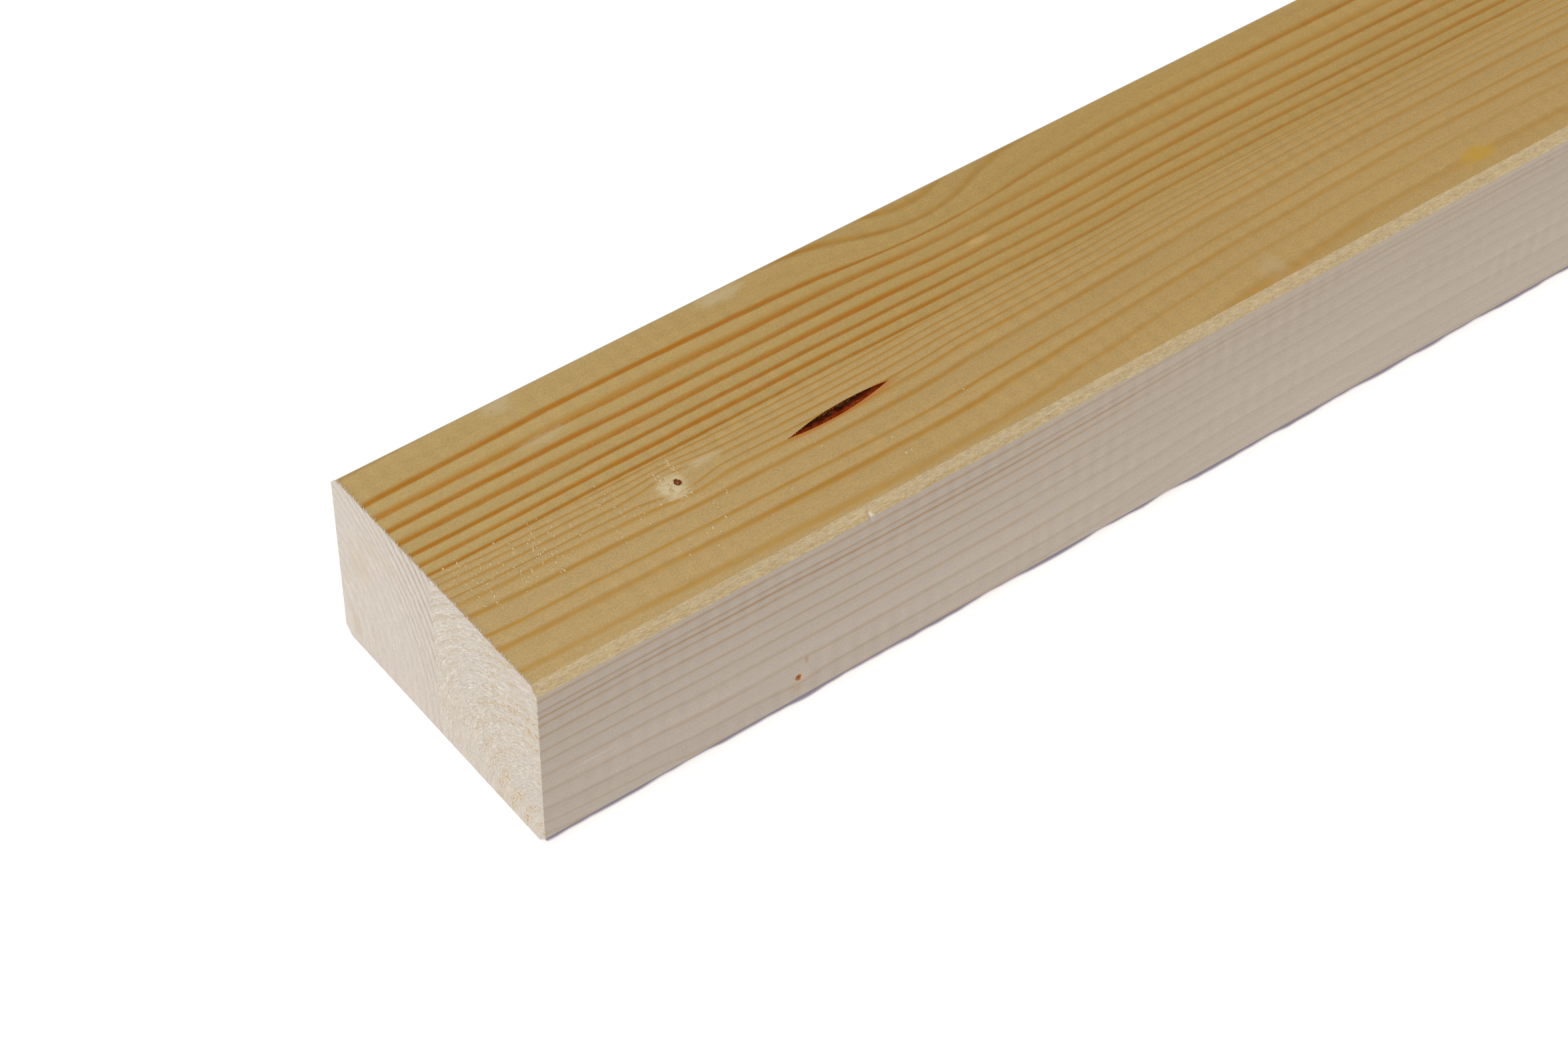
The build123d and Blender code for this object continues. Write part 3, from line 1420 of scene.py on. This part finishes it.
        # Each strip: where it starts and ends along the plank, and the rows of the image that it takes.
        strips = (
            (0.0, 300.0, 0.0, 0.36), (300.0, 750.0, 0.368, 0.55), (750.0, self.stock.length_mm, 0.558, 0.74),
        )
        u, v = np.zeros_like(x), np.zeros_like(x)
        for start, stop, low, high in strips:
            mine = (middle_x >= start) & (middle_x < stop)
            u = np.where(mine, 0.004 + 0.992 * (x - start) / (stop - start), u)
            v = np.where(mine, low + 0.002 + (high - low) * girth_at / seen, v)
        glued = girth_at.mean(1, keepdims=True) > seen
        u = np.where(glued, 0.45 + 0.54 * x / self.stock.length_mm, u)
        v = np.where(glued, 0.76 + 0.04 * (girth_at - seen) / self.height, v)
        uv[: quads * 4] = np.stack([u.ravel(), v.ravel()], -1)
        ends = slice(quads * 4, None)
        a = np.abs(places[corner[ends], 1] - self.outer_y) / MM
        z = places[corner[ends], 2] / MM
        far = np.arange(quads * 4, len(corner)) >= starts[quads + near_faces]
        uv[ends, 0] = 0.004 + 0.2 * a / self.width + 0.215 * far
        uv[ends, 1] = 0.75 + 0.24 * z / self.height
        layer = mesh.uv_layers.new(name=BAKE_MAP)
        layer.data.foreach_set("uv", uv.ravel())


@dataclass(kw_only=True)
class Splinters:
    """A joined mesh of short fibres that a blade tore up, each a thin closed spike."""

    name: str
    stock: Stock
    material: bpy.types.Material
    seed: int
    thickness: float = 0.05

    def roots(self, rng: random.Random) -> Iterator[tuple[Vector, Vector, float]]:
        """Where each fibre starts, which way it goes and how long it is."""
        raise NotImplementedError

    def build(self) -> bpy.types.Object:
        """Makes all the fibres as a single mesh.

        Returns:
            The fibres, in the frame's metres.
        """
        rng = random.Random(self.seed)
        points: list[Vector] = []
        faces: list[tuple[int, ...]] = []
        for root, heading, reach in self.roots(rng):
            self.sliver(points, faces, root, heading, reach, rng)
        mesh = bpy.data.meshes.new(self.name)
        mesh.from_pydata([self.stock.at(*p) for p in points], [], faces)
        mesh.materials.append(self.material)
        mesh.polygons.foreach_set("use_smooth", np.ones(len(mesh.polygons), bool))
        return add_object(self.name, mesh)

    def sliver(self, points: list[Vector], faces: list[tuple[int, ...]], root: Vector, heading: Vector,
               reach: float, rng: random.Random) -> None:
        """Adds one fibre: a thin three-sided spike with a bend in it.

        Args:
            points: the mesh's points so far, in millimetres.
            faces: the mesh's faces so far.
            root: where the fibre starts, inside the wood.
            heading: which way it starts.
            reach: how long it is.
            rng: the source of its unevenness.
        """
        side = heading.orthogonal().normalized()
        other = heading.cross(side)
        bend = (side * rng.uniform(-1, 1) + other * rng.uniform(-1, 1)) * reach * 0.2
        first = len(points)
        thick = self.thickness * rng.uniform(0.7, 1.5)
        for step, share in ((0.0, 0.7), (0.5, 1.0)):
            middle = root + heading * reach * step + bend * step * step
            for turn in range(3):
                angle = turn * math.tau / 3
                points.append(middle + (side * math.cos(angle) + other * math.sin(angle)) * thick * share)
        points.append(root + heading * reach + bend)
        for turn in range(3):
            after = (turn + 1) % 3
            faces.append((first + turn, first + after, first + 3 + after, first + 3 + turn))
            faces.append((first + 3 + turn, first + 3 + after, first + 6))
        faces.append((first + 2, first + 1, first))


@dataclass(frozen=True)
class TornZone:
    """A stretch of the top face where the knives tore the grain.

    Its corners are x and y in millimetres. The ticks stand in lines across the grain, which is how
    a nicked knife leaves them.
    """

    low: tuple[float, float]
    high: tuple[float, float]
    lines: int
    ticks: int
    longest: float
    spread: float = 2.2


@dataclass(kw_only=True)
class TornTicks(Splinters):
    """The short pale ticks that the planer left on the top face, lying across the grain.

    None lies within the clearance, in millimetres, of the pin knot, whose place is spared.
    """

    zones: tuple[TornZone, ...]
    spared: tuple[float, float]
    clearance: float = 1.6

    def roots(self, rng: random.Random) -> Iterator[tuple[Vector, Vector, float]]:
        """Where each tick starts, which way it goes and how long it is.

        Args:
            rng: the source of the ticks' places.

        Yields:
            Each tick's start, its heading and its length, in millimetres.
        """
        for zone in self.zones:
            for _ in range(zone.lines):
                x = rng.uniform(zone.low[0], zone.high[0])
                middle = rng.uniform(zone.low[1], zone.high[1])
                for _ in range(zone.ticks):
                    y = rng.gauss(middle, zone.spread)
                    spared = math.dist((x, y), self.spared) < self.clearance
                    if spared or not zone.low[1] < y < zone.high[1]:
                        continue
                    root = Vector((x + rng.gauss(0, 0.25), y, self.stock.thickness_mm - 0.01))
                    heading = Vector((rng.uniform(-0.35, 0.35), rng.choice((-1, 1)), rng.uniform(0.0, 0.1)))
                    yield root, heading.normalized(), zone.longest * rng.uniform(0.3, 1.0)


@dataclass(kw_only=True)
class SawFringe(Splinters):
    """The broken fibres that a saw leaves standing along the edges of an end."""

    x: float
    outward: int
    spacing: float = 0.2
    longest: float = 0.9

    def edges(self) -> list[tuple[Point, Point, Point, float]]:
        """The end's edges, but for those down at the floor.

        Returns:
            Where each edge starts and stops, which way is out, and how frayed it is.
        """
        w, t, c = self.stock.width_mm, self.stock.thickness_mm, self.stock.chamfer / MM
        slant = math.sqrt(0.5)
        return [
            ((0, c, t), (0, w - c, t), (0, 0, 1), 1.0),
            ((0, 0, c), (0, 0, t - c), (0, -1, 0), 0.45),
            ((0, 0, t - c), (0, c, t), (0, -slant, slant), 0.8),
            ((0, w, c), (0, w, t - c), (0, 1, 0), 0.4),
            ((0, w - c, t), (0, w, t - c), (0, slant, slant), 0.6),
        ]

    def roots(self, rng: random.Random) -> Iterator[tuple[Vector, Vector, float]]:
        """Where each fibre starts, which way it goes and how long it is.

        Args:
            rng: the source of the fibres' places.

        Yields:
            Each fibre's start, its heading and its length, in millimetres.
        """
        for start, stop, out, amount in self.edges():
            start, stop, out = Vector(start), Vector(stop), Vector(out)
            along = (stop - start).normalized()
            for _ in range(int((stop - start).length / self.spacing * amount)):
                root = start.lerp(stop, rng.random()) - out * 0.12
                root.x = self.x + rng.uniform(0.0, 0.12) * -self.outward
                reach = 0.12 + self.longest * amount * (0.25 + 0.75 * rng.random() ** 2.2)
                lean = along * rng.uniform(-0.9, 0.9) + Vector((rng.uniform(-0.6, 0.2) * self.outward, 0, 0))
                yield root, (out + lean).normalized(), reach


@dataclass(frozen=True)
class PhotoCamera:
    """The camera that the photograph was taken with, found from the plank's own edges.

    Its place is in millimetres from the near end's lower front corner.
    """

    x: float = -253.1
    y: float = -406.4
    z: float = 575.1
    heading_deg: float = 52.69
    tilt_down_deg: float = 45.59
    roll_deg: float = -0.377
    lens_mm: float = 89.68
    sensor_mm: float = 36.0

    def build(self, stock: Stock) -> bpy.types.Object:
        """Makes the camera and makes it the scene's own.

        Args:
            stock: the plank's sizes.

        Returns:
            The camera.
        """
        data = bpy.data.cameras.new("camera")
        data.lens = self.lens_mm
        data.sensor_width = self.sensor_mm
        data.sensor_fit = "HORIZONTAL"
        data.clip_start = 0.01
        camera = add_object("camera", data)
        heading, tilt = math.radians(self.heading_deg), math.radians(self.tilt_down_deg)
        right = Vector((math.sin(heading), -math.cos(heading), 0))
        level = math.cos(tilt)
        ahead = Vector((math.cos(heading) * level, math.sin(heading) * level, -math.sin(tilt)))
        turn = Matrix.Rotation(math.radians(self.roll_deg), 3, ahead)
        right = turn @ right
        up = right.cross(ahead)
        camera.matrix_world = Matrix.Translation(stock.at(self.x, self.y, self.z)) @ Matrix(
            (right, up, -ahead)).transposed().to_4x4()
        bpy.context.scene.camera = camera
        return camera


@dataclass(frozen=True)
class Studio:
    """A white room: a pale floor, an even white sky and two soft distant lamps.

    Together they light the top and the two faces towards the camera to about the same level. Sky,
    key and fill are how strong each is, and towards is the way to each lamp. The painted shadow
    colour is a contact shadow painted into the floor close under the plank. Floor half is half of
    the floor's side, in metres.
    """

    sky: float = 0.45
    key: float = 1.85
    fill: float = 0.55
    key_towards: Point = (-0.58, -0.53, 0.62)
    fill_towards: Point = (0.5, 0.55, 0.67)
    softness_deg: float = 50.0
    floor_colour: Colour = (0.8, 0.79, 0.8)
    # Painted shadow: the floor's colour close under the plank.
    painted_shadow_colour: Colour = (0.32, 0.28, 0.4)
    floor_glow: Colour = (0.42, 0.42, 0.42)
    floor_half: float = 6.0

    def build(self, stock: Stock) -> None:
        """Makes the floor, the sky and the lamps.

        Args:
            stock: the plank's sizes.
        """
        self.lay_floor(stock)
        self.light_sky()
        self.hang_lamp("key lamp", self.key_towards, self.key)
        self.hang_lamp("fill lamp", self.fill_towards, self.fill)

    def lay_floor(self, stock: Stock) -> None:
        """Makes the floor, which the camera sees as white but for a shadow right under the plank, partly
        painted into the floor's colour.

        Args:
            stock: the plank's sizes.
        """
        half = self.floor_half
        corners = [(-half, -half, 0), (half, -half, 0), (half, half, 0), (-half, half, 0)]
        mesh = bpy.data.meshes.new("floor")
        mesh.from_pydata(corners, [], [(0, 1, 2, 3)])
        floor = add_object("floor", mesh)
        material = bpy.data.materials.new("floor paper")
        material.use_nodes = True
        material.node_tree.nodes.clear()
        g = Graph(material.node_tree)
        path = g.node("LightPath").outputs
        seen = g.math("MAXIMUM", path["Is Camera Ray"], path["Is Transmission Ray"])
        place = g.vector("ABSOLUTE", g.node("TexCoord").outputs["Object"])
        # The painted contact shadow is measured from just inside the plank's outline, and ends sooner past
        # its ends.
        reach = ((stock.length_mm / 2 - 1.0) * MM, (stock.width_mm / 2 - 2.0) * MM, 0.0)
        outside = g.vector("MAXIMUM", g.vector("SUBTRACT", place, reach), (0.0, 0.0, 0.0))
        patchy = g.noise(place, (16.0 * MM, 16.0 * MM, 1.0), 2.0)
        off = g.length(g.vector("MULTIPLY", outside, (6.0, 1.0, 1.0)))
        clear = g.ease(g.math("MULTIPLY_ADD", patchy, 2.6 * MM, off), 2.1 * MM, 2.9 * MM)
        # Painted shadow: the paper darkens towards the plank, and its white glow fades there as well.
        colour = g.mix(clear, self.painted_shadow_colour, self.floor_colour)
        paper = g.node("BsdfDiffuse", {"Color": colour}).outputs[0]
        shown = g.product(seen, g.spread(clear, 0.0, 1.0, 0.2, 1.0))
        glow = g.node("Emission", {"Color": (*self.floor_glow, 1.0), "Strength": shown}).outputs[0]
        both = g.node("AddShader", {0: paper, 1: glow}).outputs[0]
        g.node("OutputMaterial", {"Surface": both})
        mesh.materials.append(material)

    def light_sky(self) -> None:
        """Lights the room evenly, and shows plain white behind the plank."""
        world = bpy.data.worlds.new("white room")
        bpy.context.scene.world = world
        world.use_nodes = True
        g = Graph(world.node_tree)
        back = next(n for n in world.node_tree.nodes if n.type == "BACKGROUND")
        path = g.node("LightPath").outputs
        seen = g.math("MAXIMUM", g.math("MAXIMUM", path["Is Camera Ray"], path["Is Glossy Ray"]),
                      path["Is Transmission Ray"])
        g.feed(back, {"Color": (1.0, 1.0, 1.0, 1.0), "Strength": g.between(seen, self.sky, 1.0)})

    def hang_lamp(self, name: str, towards: Point, strength: float) -> None:
        """Hangs one soft lamp, far enough off to light the whole length evenly.

        Args:
            name: the lamp's name.
            towards: the way from the plank to the lamp.
            strength: its strength.
        """
        data = bpy.data.lights.new(name, "SUN")
        data.angle = math.radians(self.softness_deg)
        data.energy = strength
        lamp = add_object(name, data)
        lamp.location = Vector(towards) * 2
        lamp.rotation_euler = Vector(towards).to_track_quat("Z", "Y").to_euler()


@dataclass
class Plank:
    """The whole plank: its two lamellae, the frayed fibres at its ends and the torn ones on its top."""

    stock: Stock
    pocket: ResinPocket
    effects: Effects

    # Where the two pin knots come to the surface.
    TOP_KNOT = (52.5, 28.5, 44.0)
    FRONT_KNOT = (60.5, 0.0, 7.7)

    # The front lamella's pith lay just outside the plank, below its lower front edge.
    FRONT = Growth(
        name="front growth rings",
        pith_y=-6.4, pith_z=-1.5,
        radii=(4.0, 6.6, 8.7, 10.9, 14.3, 18.8, 23.3, 26.7, 29.8, 33.6, 36.8, 38.6, 40.2, 43.3, 45.3, 47.5,
               49.8, 51.5, 54.8, 56.8, 57.9, 59.4, 60.6, 61.7, 62.9, 64.2),
        strengths=((0.0, 0.37), (20.0, 0.42), (30.0, 0.5), (36.3, 0.55), (37.2, 0.95), (38.4, 1.0),
                   (39.2, 0.7), (43.0, 0.6), (45.3, 0.6), (46.0, 0.5), (47.5, 0.54), (49.0, 0.68),
                   (55.0, 0.66), (64.0, 0.68)),
        along=((0.0, 0.95), (90.0, 1.0), (140.0, 0.9), (180.0, 0.72), (240.0, 0.7), (500.0, 0.95),
               (1200.0, 0.95)),
        late_share=((0.0, 0.15), (35.0, 0.17), (37.5, 0.42), (40.5, 0.42), (42.0, 0.28), (45.0, 0.28),
                    (45.6, 0.14), (47.5, 0.14), (48.5, 0.3), (53.0, 0.26), (56.0, 0.36), (64.0, 0.44)),
        shoulder=0.2,
        bands=(
            (12.0, ((0.0, 0.0), (25.0, -1.8), (50.0, -3.2), (100.0, -3.1), (125.0, -2.7), (150.0, -1.5),
                    (200.0, 1.1), (240.0, 1.3), (420.0, 0.0), (800.0, 2.2), (1200.0, -1.0))),
            (24.0, ((0.0, 0.0), (25.0, -0.7), (50.0, -1.4), (100.0, -1.6), (125.0, -1.1), (150.0, -0.2),
                    (200.0, 1.2), (240.0, 2.3), (420.0, 0.2), (800.0, 2.1), (1200.0, -0.8))),
            (38.0, ((0.0, 0.0), (25.0, 0.0), (50.0, -0.3), (100.0, -0.9), (125.0, -0.4), (150.0, 0.6),
                    (200.0, 2.3), (240.0, 2.6), (420.0, 0.4), (800.0, 2.0), (1200.0, -0.6))),
            (47.0, ((0.0, 0.0), (30.0, -0.2), (100.0, -0.4), (120.0, -0.2), (138.0, 0.3), (155.0, 0.8),
                    (200.0, 1.9), (250.0, 2.4), (420.0, 0.4), (800.0, 2.0), (1200.0, -0.5))),
            (54.0, ((0.0, 0.0), (30.0, -0.8), (60.0, -1.2), (92.0, -1.4), (120.0, -0.6), (155.0, 0.2),
                    (200.0, 1.4), (250.0, 2.1), (420.0, 0.3), (800.0, 1.2), (1200.0, -0.3))),
            (61.0, ((0.0, 0.0), (30.0, -0.7), (60.0, -1.1), (80.0, -1.2), (120.0, -0.7), (155.0, -0.1),
                    (200.0, 0.9), (250.0, 1.2), (500.0, -0.6), (850.0, 0.6), (1200.0, 0.0))),
        ),
        twigs=((*TOP_KNOT, 1.3, 4.5), (*FRONT_KNOT, 0.9, 4.5)),
    )
    # The back lamella's pith lay outside it too, beyond its lower back edge.
    BACK = Growth(
        name="back growth rings",
        pith_y=83.7, pith_z=0.8,
        radii=(4.5, 9.1, 14.2, 20.2, 23.5, 26.5, 29.3, 32.4, 35.6, 38.7, 41.4, 43.8, 46.3, 48.2, 50.2,
               52.7, 55.1, 57.6, 60.0, 62.3, 64.5, 66.3),
        strengths=((0.0, 0.5), (30.0, 0.5), (42.0, 0.6), (46.0, 0.7), (46.4, 0.12), (48.2, 0.12), (48.8, 0.9),
                   (50.0, 1.0), (51.7, 0.85), (54.0, 1.0), (66.0, 0.95)),
        along=((0.0, 0.94), (55.0, 0.97), (75.0, 1.0), (100.0, 0.98), (130.0, 0.76), (160.0, 0.6),
               (240.0, 0.66), (500.0, 0.9), (1200.0, 0.9)),
        late_share=((0.0, 0.3), (30.0, 0.36), (45.0, 0.45), (66.0, 0.46)),
        bands=(
            (22.0, ((0.0, 0.0), (40.0, -0.5), (100.0, 0.3), (200.0, -1.2), (400.0, 1.0), (800.0, -1.0),
                    (1200.0, 0.8))),
            (49.5, ((0.0, 0.0), (30.0, -0.3), (50.0, -0.5), (65.0, -0.5), (90.0, -0.3), (150.0, -0.1),
                    (180.0, -0.4), (200.0, -0.8), (250.0, -0.9), (500.0, 0.6), (850.0, -0.8), (1200.0, 0.5))),
            (54.5, ((0.0, 0.0), (60.0, -0.1), (150.0, 0.0), (175.0, -0.3), (200.0, -0.8), (250.0, -1.0),
                    (500.0, 0.4), (850.0, -0.5), (1200.0, 0.4))),
            (62.0, ((0.0, 0.0), (15.0, 0.2), (50.0, 0.0), (150.0, 0.0), (175.0, -0.5), (200.0, -1.0),
                    (250.0, -1.1), (500.0, 0.0), (1200.0, 0.0))),
        ),
        branch=(138.0, 1.9, 19.0, ((30.0, 0.0), (40.0, 2.5), (47.0, 3.6), (49.3, 3.5), (51.0, 1.6),
                                   (53.0, 0.9), (57.5, 0.4), (60.0, 0.0))),
    )

    # A knock on the upper front edge laid bare a little white wood.
    NICK = Spot((77.8, 0.4, 42.4), (0.6, 1.1, 0.8), srgb(236, 230, 216), 0.85, 0.3)

    def front_board(self) -> Lamella:
        """The lamella at the front, with the resin pocket and the pin knots.

        Returns:
            The board, ready to be built.
        """
        growth = self.FRONT.group(self.stock)
        top = PlanedFinish(
            "front planed wood", early=srgb(187, 158, 106), late=srgb(184, 144, 75), deep=srgb(176, 124, 42),
            felt=0.8, mottle=0.1, far_tint=(0.9, 0.85, 0.72), pocket=self.pocket,
            knots=(PinKnot(self.TOP_KNOT, 0.9, srgb(176, 100, 36), srgb(96, 46, 10)),),
            spots=(
                Spot((59.8, 30.2, 44.0), (5.0, 1.5, 2.0), srgb(204, 186, 150), 0.55),
                Spot((50.6, 27.6, 44.0), (3.4, 4.2, 2.0), srgb(218, 201, 164), 0.75),
                Spot((244.0, 7.0, 44.0), (6.5, 3.2, 2.0), srgb(188, 148, 58), 0.9),
                Spot((186.0, 6.5, 44.0), (4.0, 4.0, 2.0), srgb(184, 164, 128), 0.4),
            ),
        )
        # Its colours are greyer and cooler than the top's: partly the wood's own tone, partly painted shade
        # with a cool cast.
        side = PlanedFinish(
            "front face wood", early=srgb(182, 169, 154), late=srgb(177, 155, 131), deep=srgb(170, 140, 112),
            far_contrast=0.6, far_tint=(1.045, 1.025, 0.995), painted_floor_light=(1.09, 1.11, 1.145), streaks=0.12,
            felt=0.6, mottle=0.08,
            knots=(
                PinKnot(self.FRONT_KNOT, 0.8, srgb(112, 50, 24), srgb(172, 112, 64), srgb(200, 178, 148)),
            ),
            spots=(
                Spot((62.4, 0.0, 11.8), (0.6, 1.0, 1.3), srgb(184, 142, 100), 0.7, 0.3),
                Spot((60.0, 0.0, 5.0), (1.6, 1.0, 1.2), srgb(190, 160, 124), 0.5),
                Spot((12.0, 0.0, 17.5), (6.0, 1.0, 0.5), srgb(206, 194, 180), 0.6),
                self.NICK,
            ),
        )
        chamfer = PlanedFinish(
            "front chamfer wood", early=srgb(180, 158, 120), late=srgb(183, 149, 92), deep=srgb(172, 130, 70),
            ring_contrast=0.5, streaks=0.3, felt=0.8, mottle=0.26, sheen_and_threads=0.5, spots=(self.NICK,),
        )
        end = EndGrainFinish(
            "front end grain", base=srgb(232, 222, 208), line=srgb(222, 204, 180), shade=srgb(208, 192, 174),
            pale=srgb(250, 243, 228), fleck=srgb(220, 184, 124), ring_contrast=0.9, low_line=0.6,
            fleck_strength=0.9, fuzz=1.1, rays=0.16,
        )
        looks = {Face.PLANED: top, Face.SIDE: side, Face.CHAMFER: chamfer, Face.END: end}
        finishes = {face: look.material(growth, self.effects) for face, look in looks.items()}
        finishes[Face.RESIN] = ResinFinish("pocket resin").material(self.pocket, self.stock)
        finishes[Face.GLUED] = finishes[Face.SIDE]
        strip = [self.pocket.y + c * self.pocket.width / 2 for c in Lamella.pocket_columns]
        across = ((strip[0], 0.8), *((y, 1.0) for y in strip[1:]), (self.pocket.y + 4.5, 0.45), (99.0, 0.8))
        rows = ((1.0, 0.5), (48.0, 2.0), (57.0, 0.4), (75.5, 1.5), (103.5, 0.35), (300.0, 2.5), (750.0, 12.0),
                (1200.0, 12.0))
        dents = (
            Dent(self.TOP_KNOT, (0.9, 1.0, 1.0), 0.35),
            Dent(self.FRONT_KNOT, (0.8, 1.0, 0.8), 0.3),
            Dent((77.8, 0.2, 42.2), (0.55, 1.2, 1.0), 0.45),
        )
        return Lamella(
            "front_lamella", self.stock, self.stock.front, finishes, self.pocket, dents,
            rows=rows, across=across, upward=((5.5, 0.8), (10.0, 0.4), (99.0, 0.9)), saw_mark=0.14,
        )

    def back_board(self) -> Lamella:
        """The lamella at the back, whose rings swell round a branch near its upper edge.

        Returns:
            The board, ready to be built.
        """
        growth = self.BACK.group(self.stock)
        top = PlanedFinish(
            "back planed wood", early=srgb(185, 157, 102), late=srgb(179, 138, 67), deep=srgb(171, 109, 16),
            felt=0.75, mottle=0.1, far_tint=(0.88, 0.81, 0.64),
            spots=(
                Spot((8.0, 68.6, 44.0), (15.0, 1.3, 2.0), srgb(176, 126, 70), 0.6),
                Spot((36.5, 67.0, 44.0), (5.0, 3.6, 2.0), srgb(194, 176, 138), 0.6),
                Spot((90.0, 66.5, 44.0), (7.0, 2.4, 2.0), srgb(196, 178, 142), 0.6),
                Spot((39.0, 54.0, 44.0), (7.0, 1.6, 2.0), srgb(192, 172, 132), 0.5),
                Spot((143.0, 48.3, 44.0), (3.0, 1.2, 2.0), srgb(206, 170, 104), 0.5),
            ),
        )
        side = PlanedFinish(
            "back face wood", early=srgb(188, 172, 150), late=srgb(180, 150, 116), deep=srgb(166, 124, 80),
            ring_contrast=0.9, streaks=0.1, felt=0.26, mottle=0.08,
        )
        chamfer = PlanedFinish(
            "back chamfer wood", early=srgb(188, 162, 116), late=srgb(182, 142, 80), deep=srgb(170, 122, 58),
            ring_contrast=0.6, streaks=0.2, felt=0.34, mottle=0.16, sheen_and_threads=0.5,
        )
        end = EndGrainFinish(
            "back end grain", base=srgb(231, 221, 208), line=srgb(200, 183, 166), shade=srgb(214, 200, 187),
            pale=srgb(246, 238, 224), fleck=srgb(216, 186, 142), ring_contrast=1.2, low_line=0.5,
            fleck_strength=0.5, fuzz=0.75, rays=0.34,
            spots=(
                Spot((0.0, 62.0, 26.0), (5.0, 5.0, 6.0), srgb(228, 206, 174), 0.35),
                Spot((0.0, 54.0, 34.0), (5.0, 9.0, 2.5), srgb(224, 206, 180), 0.3),
                Spot((0.0, 65.5, 6.0), (5.0, 2.0, 5.0), srgb(224, 202, 176), 0.4),
            ),
        )
        looks = {Face.PLANED: top, Face.SIDE: side, Face.CHAMFER: chamfer, Face.END: end}
        finishes = {face: look.material(growth, self.effects) for face, look in looks.items()}
        finishes[Face.RESIN] = finishes[Face.GLUED] = finishes[Face.SIDE]
        return Lamella(
            "back_lamella", self.stock, self.stock.back, finishes, across=((99.0, 1.0),),
            upward=((99.0, 1.2),),
        )

    def torn_fibres(self) -> list[Splinters]:
        """The fringes of the two sawn ends, and the ticks that the planer tore in the top.

        Returns:
            The three lots of fibres, ready to be built.
        """
        sawn = SplinterFinish("sawn fibre", srgb(236, 229, 214), srgb(212, 200, 182)).material()
        planed = SplinterFinish("torn fibre", srgb(228, 208, 164), srgb(206, 182, 134)).material()
        zones = (
            TornZone((0.6, 21.5), (24.0, 37.5), lines=34, ticks=5, longest=1.2),
            TornZone((24.0, 22.0), (48.0, 37.0), lines=16, ticks=4, longest=1.1),
            TornZone((49.4, 25.0), (51.4, 32.0), lines=5, ticks=7, longest=1.9),
            TornZone((49.8, 22.5), (54.4, 26.6), lines=8, ticks=4, longest=1.3),
            TornZone((52.8, 30.2), (54.2, 34.0), lines=4, ticks=4, longest=1.5),
            TornZone((8.0, 8.0), (115.0, 24.0), lines=16, ticks=3, longest=1.4),
        )
        return [
            SawFringe(name="near_end_fibres", stock=self.stock, material=sawn, seed=11, x=0.0, outward=-1),
            SawFringe(
                name="far_end_fibres", stock=self.stock, material=sawn, seed=12,
                x=self.stock.length_mm, outward=1,
            ),
            TornTicks(
                name="torn_ticks", stock=self.stock, material=planed, seed=13, zones=zones,
                spared=self.TOP_KNOT[:2], thickness=0.12,
            ),
        ]

    def build(self) -> None:
        """Builds the boards and their torn fibres, and ties them to the solids that they stand for."""
        for lamella in (self.front_board(), self.back_board()):
            board = lamella.build()
            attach(board, BODY)
            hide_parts(lamella.node)
            log.info("%s stands for %s with %d faces", board.name, lamella.node, len(board.data.polygons))
        for splinters in self.torn_fibres():
            fibres = splinters.build()
            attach(fibres, BODY)
            log.info("%s has %d faces", fibres.name, len(fibres.data.polygons))


def main() -> None:
    """Builds the plank, the studio and the camera."""
    logging.basicConfig(level=logging.INFO, format="%(name)s: %(message)s")
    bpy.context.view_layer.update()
    bpy.context.scene.view_settings.view_transform = "Standard"
    stock = Stock.from_frame()
    pocket = ResinPocket.from_frame(stock)
    log.info("resin pocket %.1f mm from the near end, %.1f mm long", pocket.x, pocket.length)
    PhotoCamera().build(stock)
    Studio().build(stock)
    Plank(stock, pocket, Effects.build()).build()


if __name__ == "__main__":
    main()
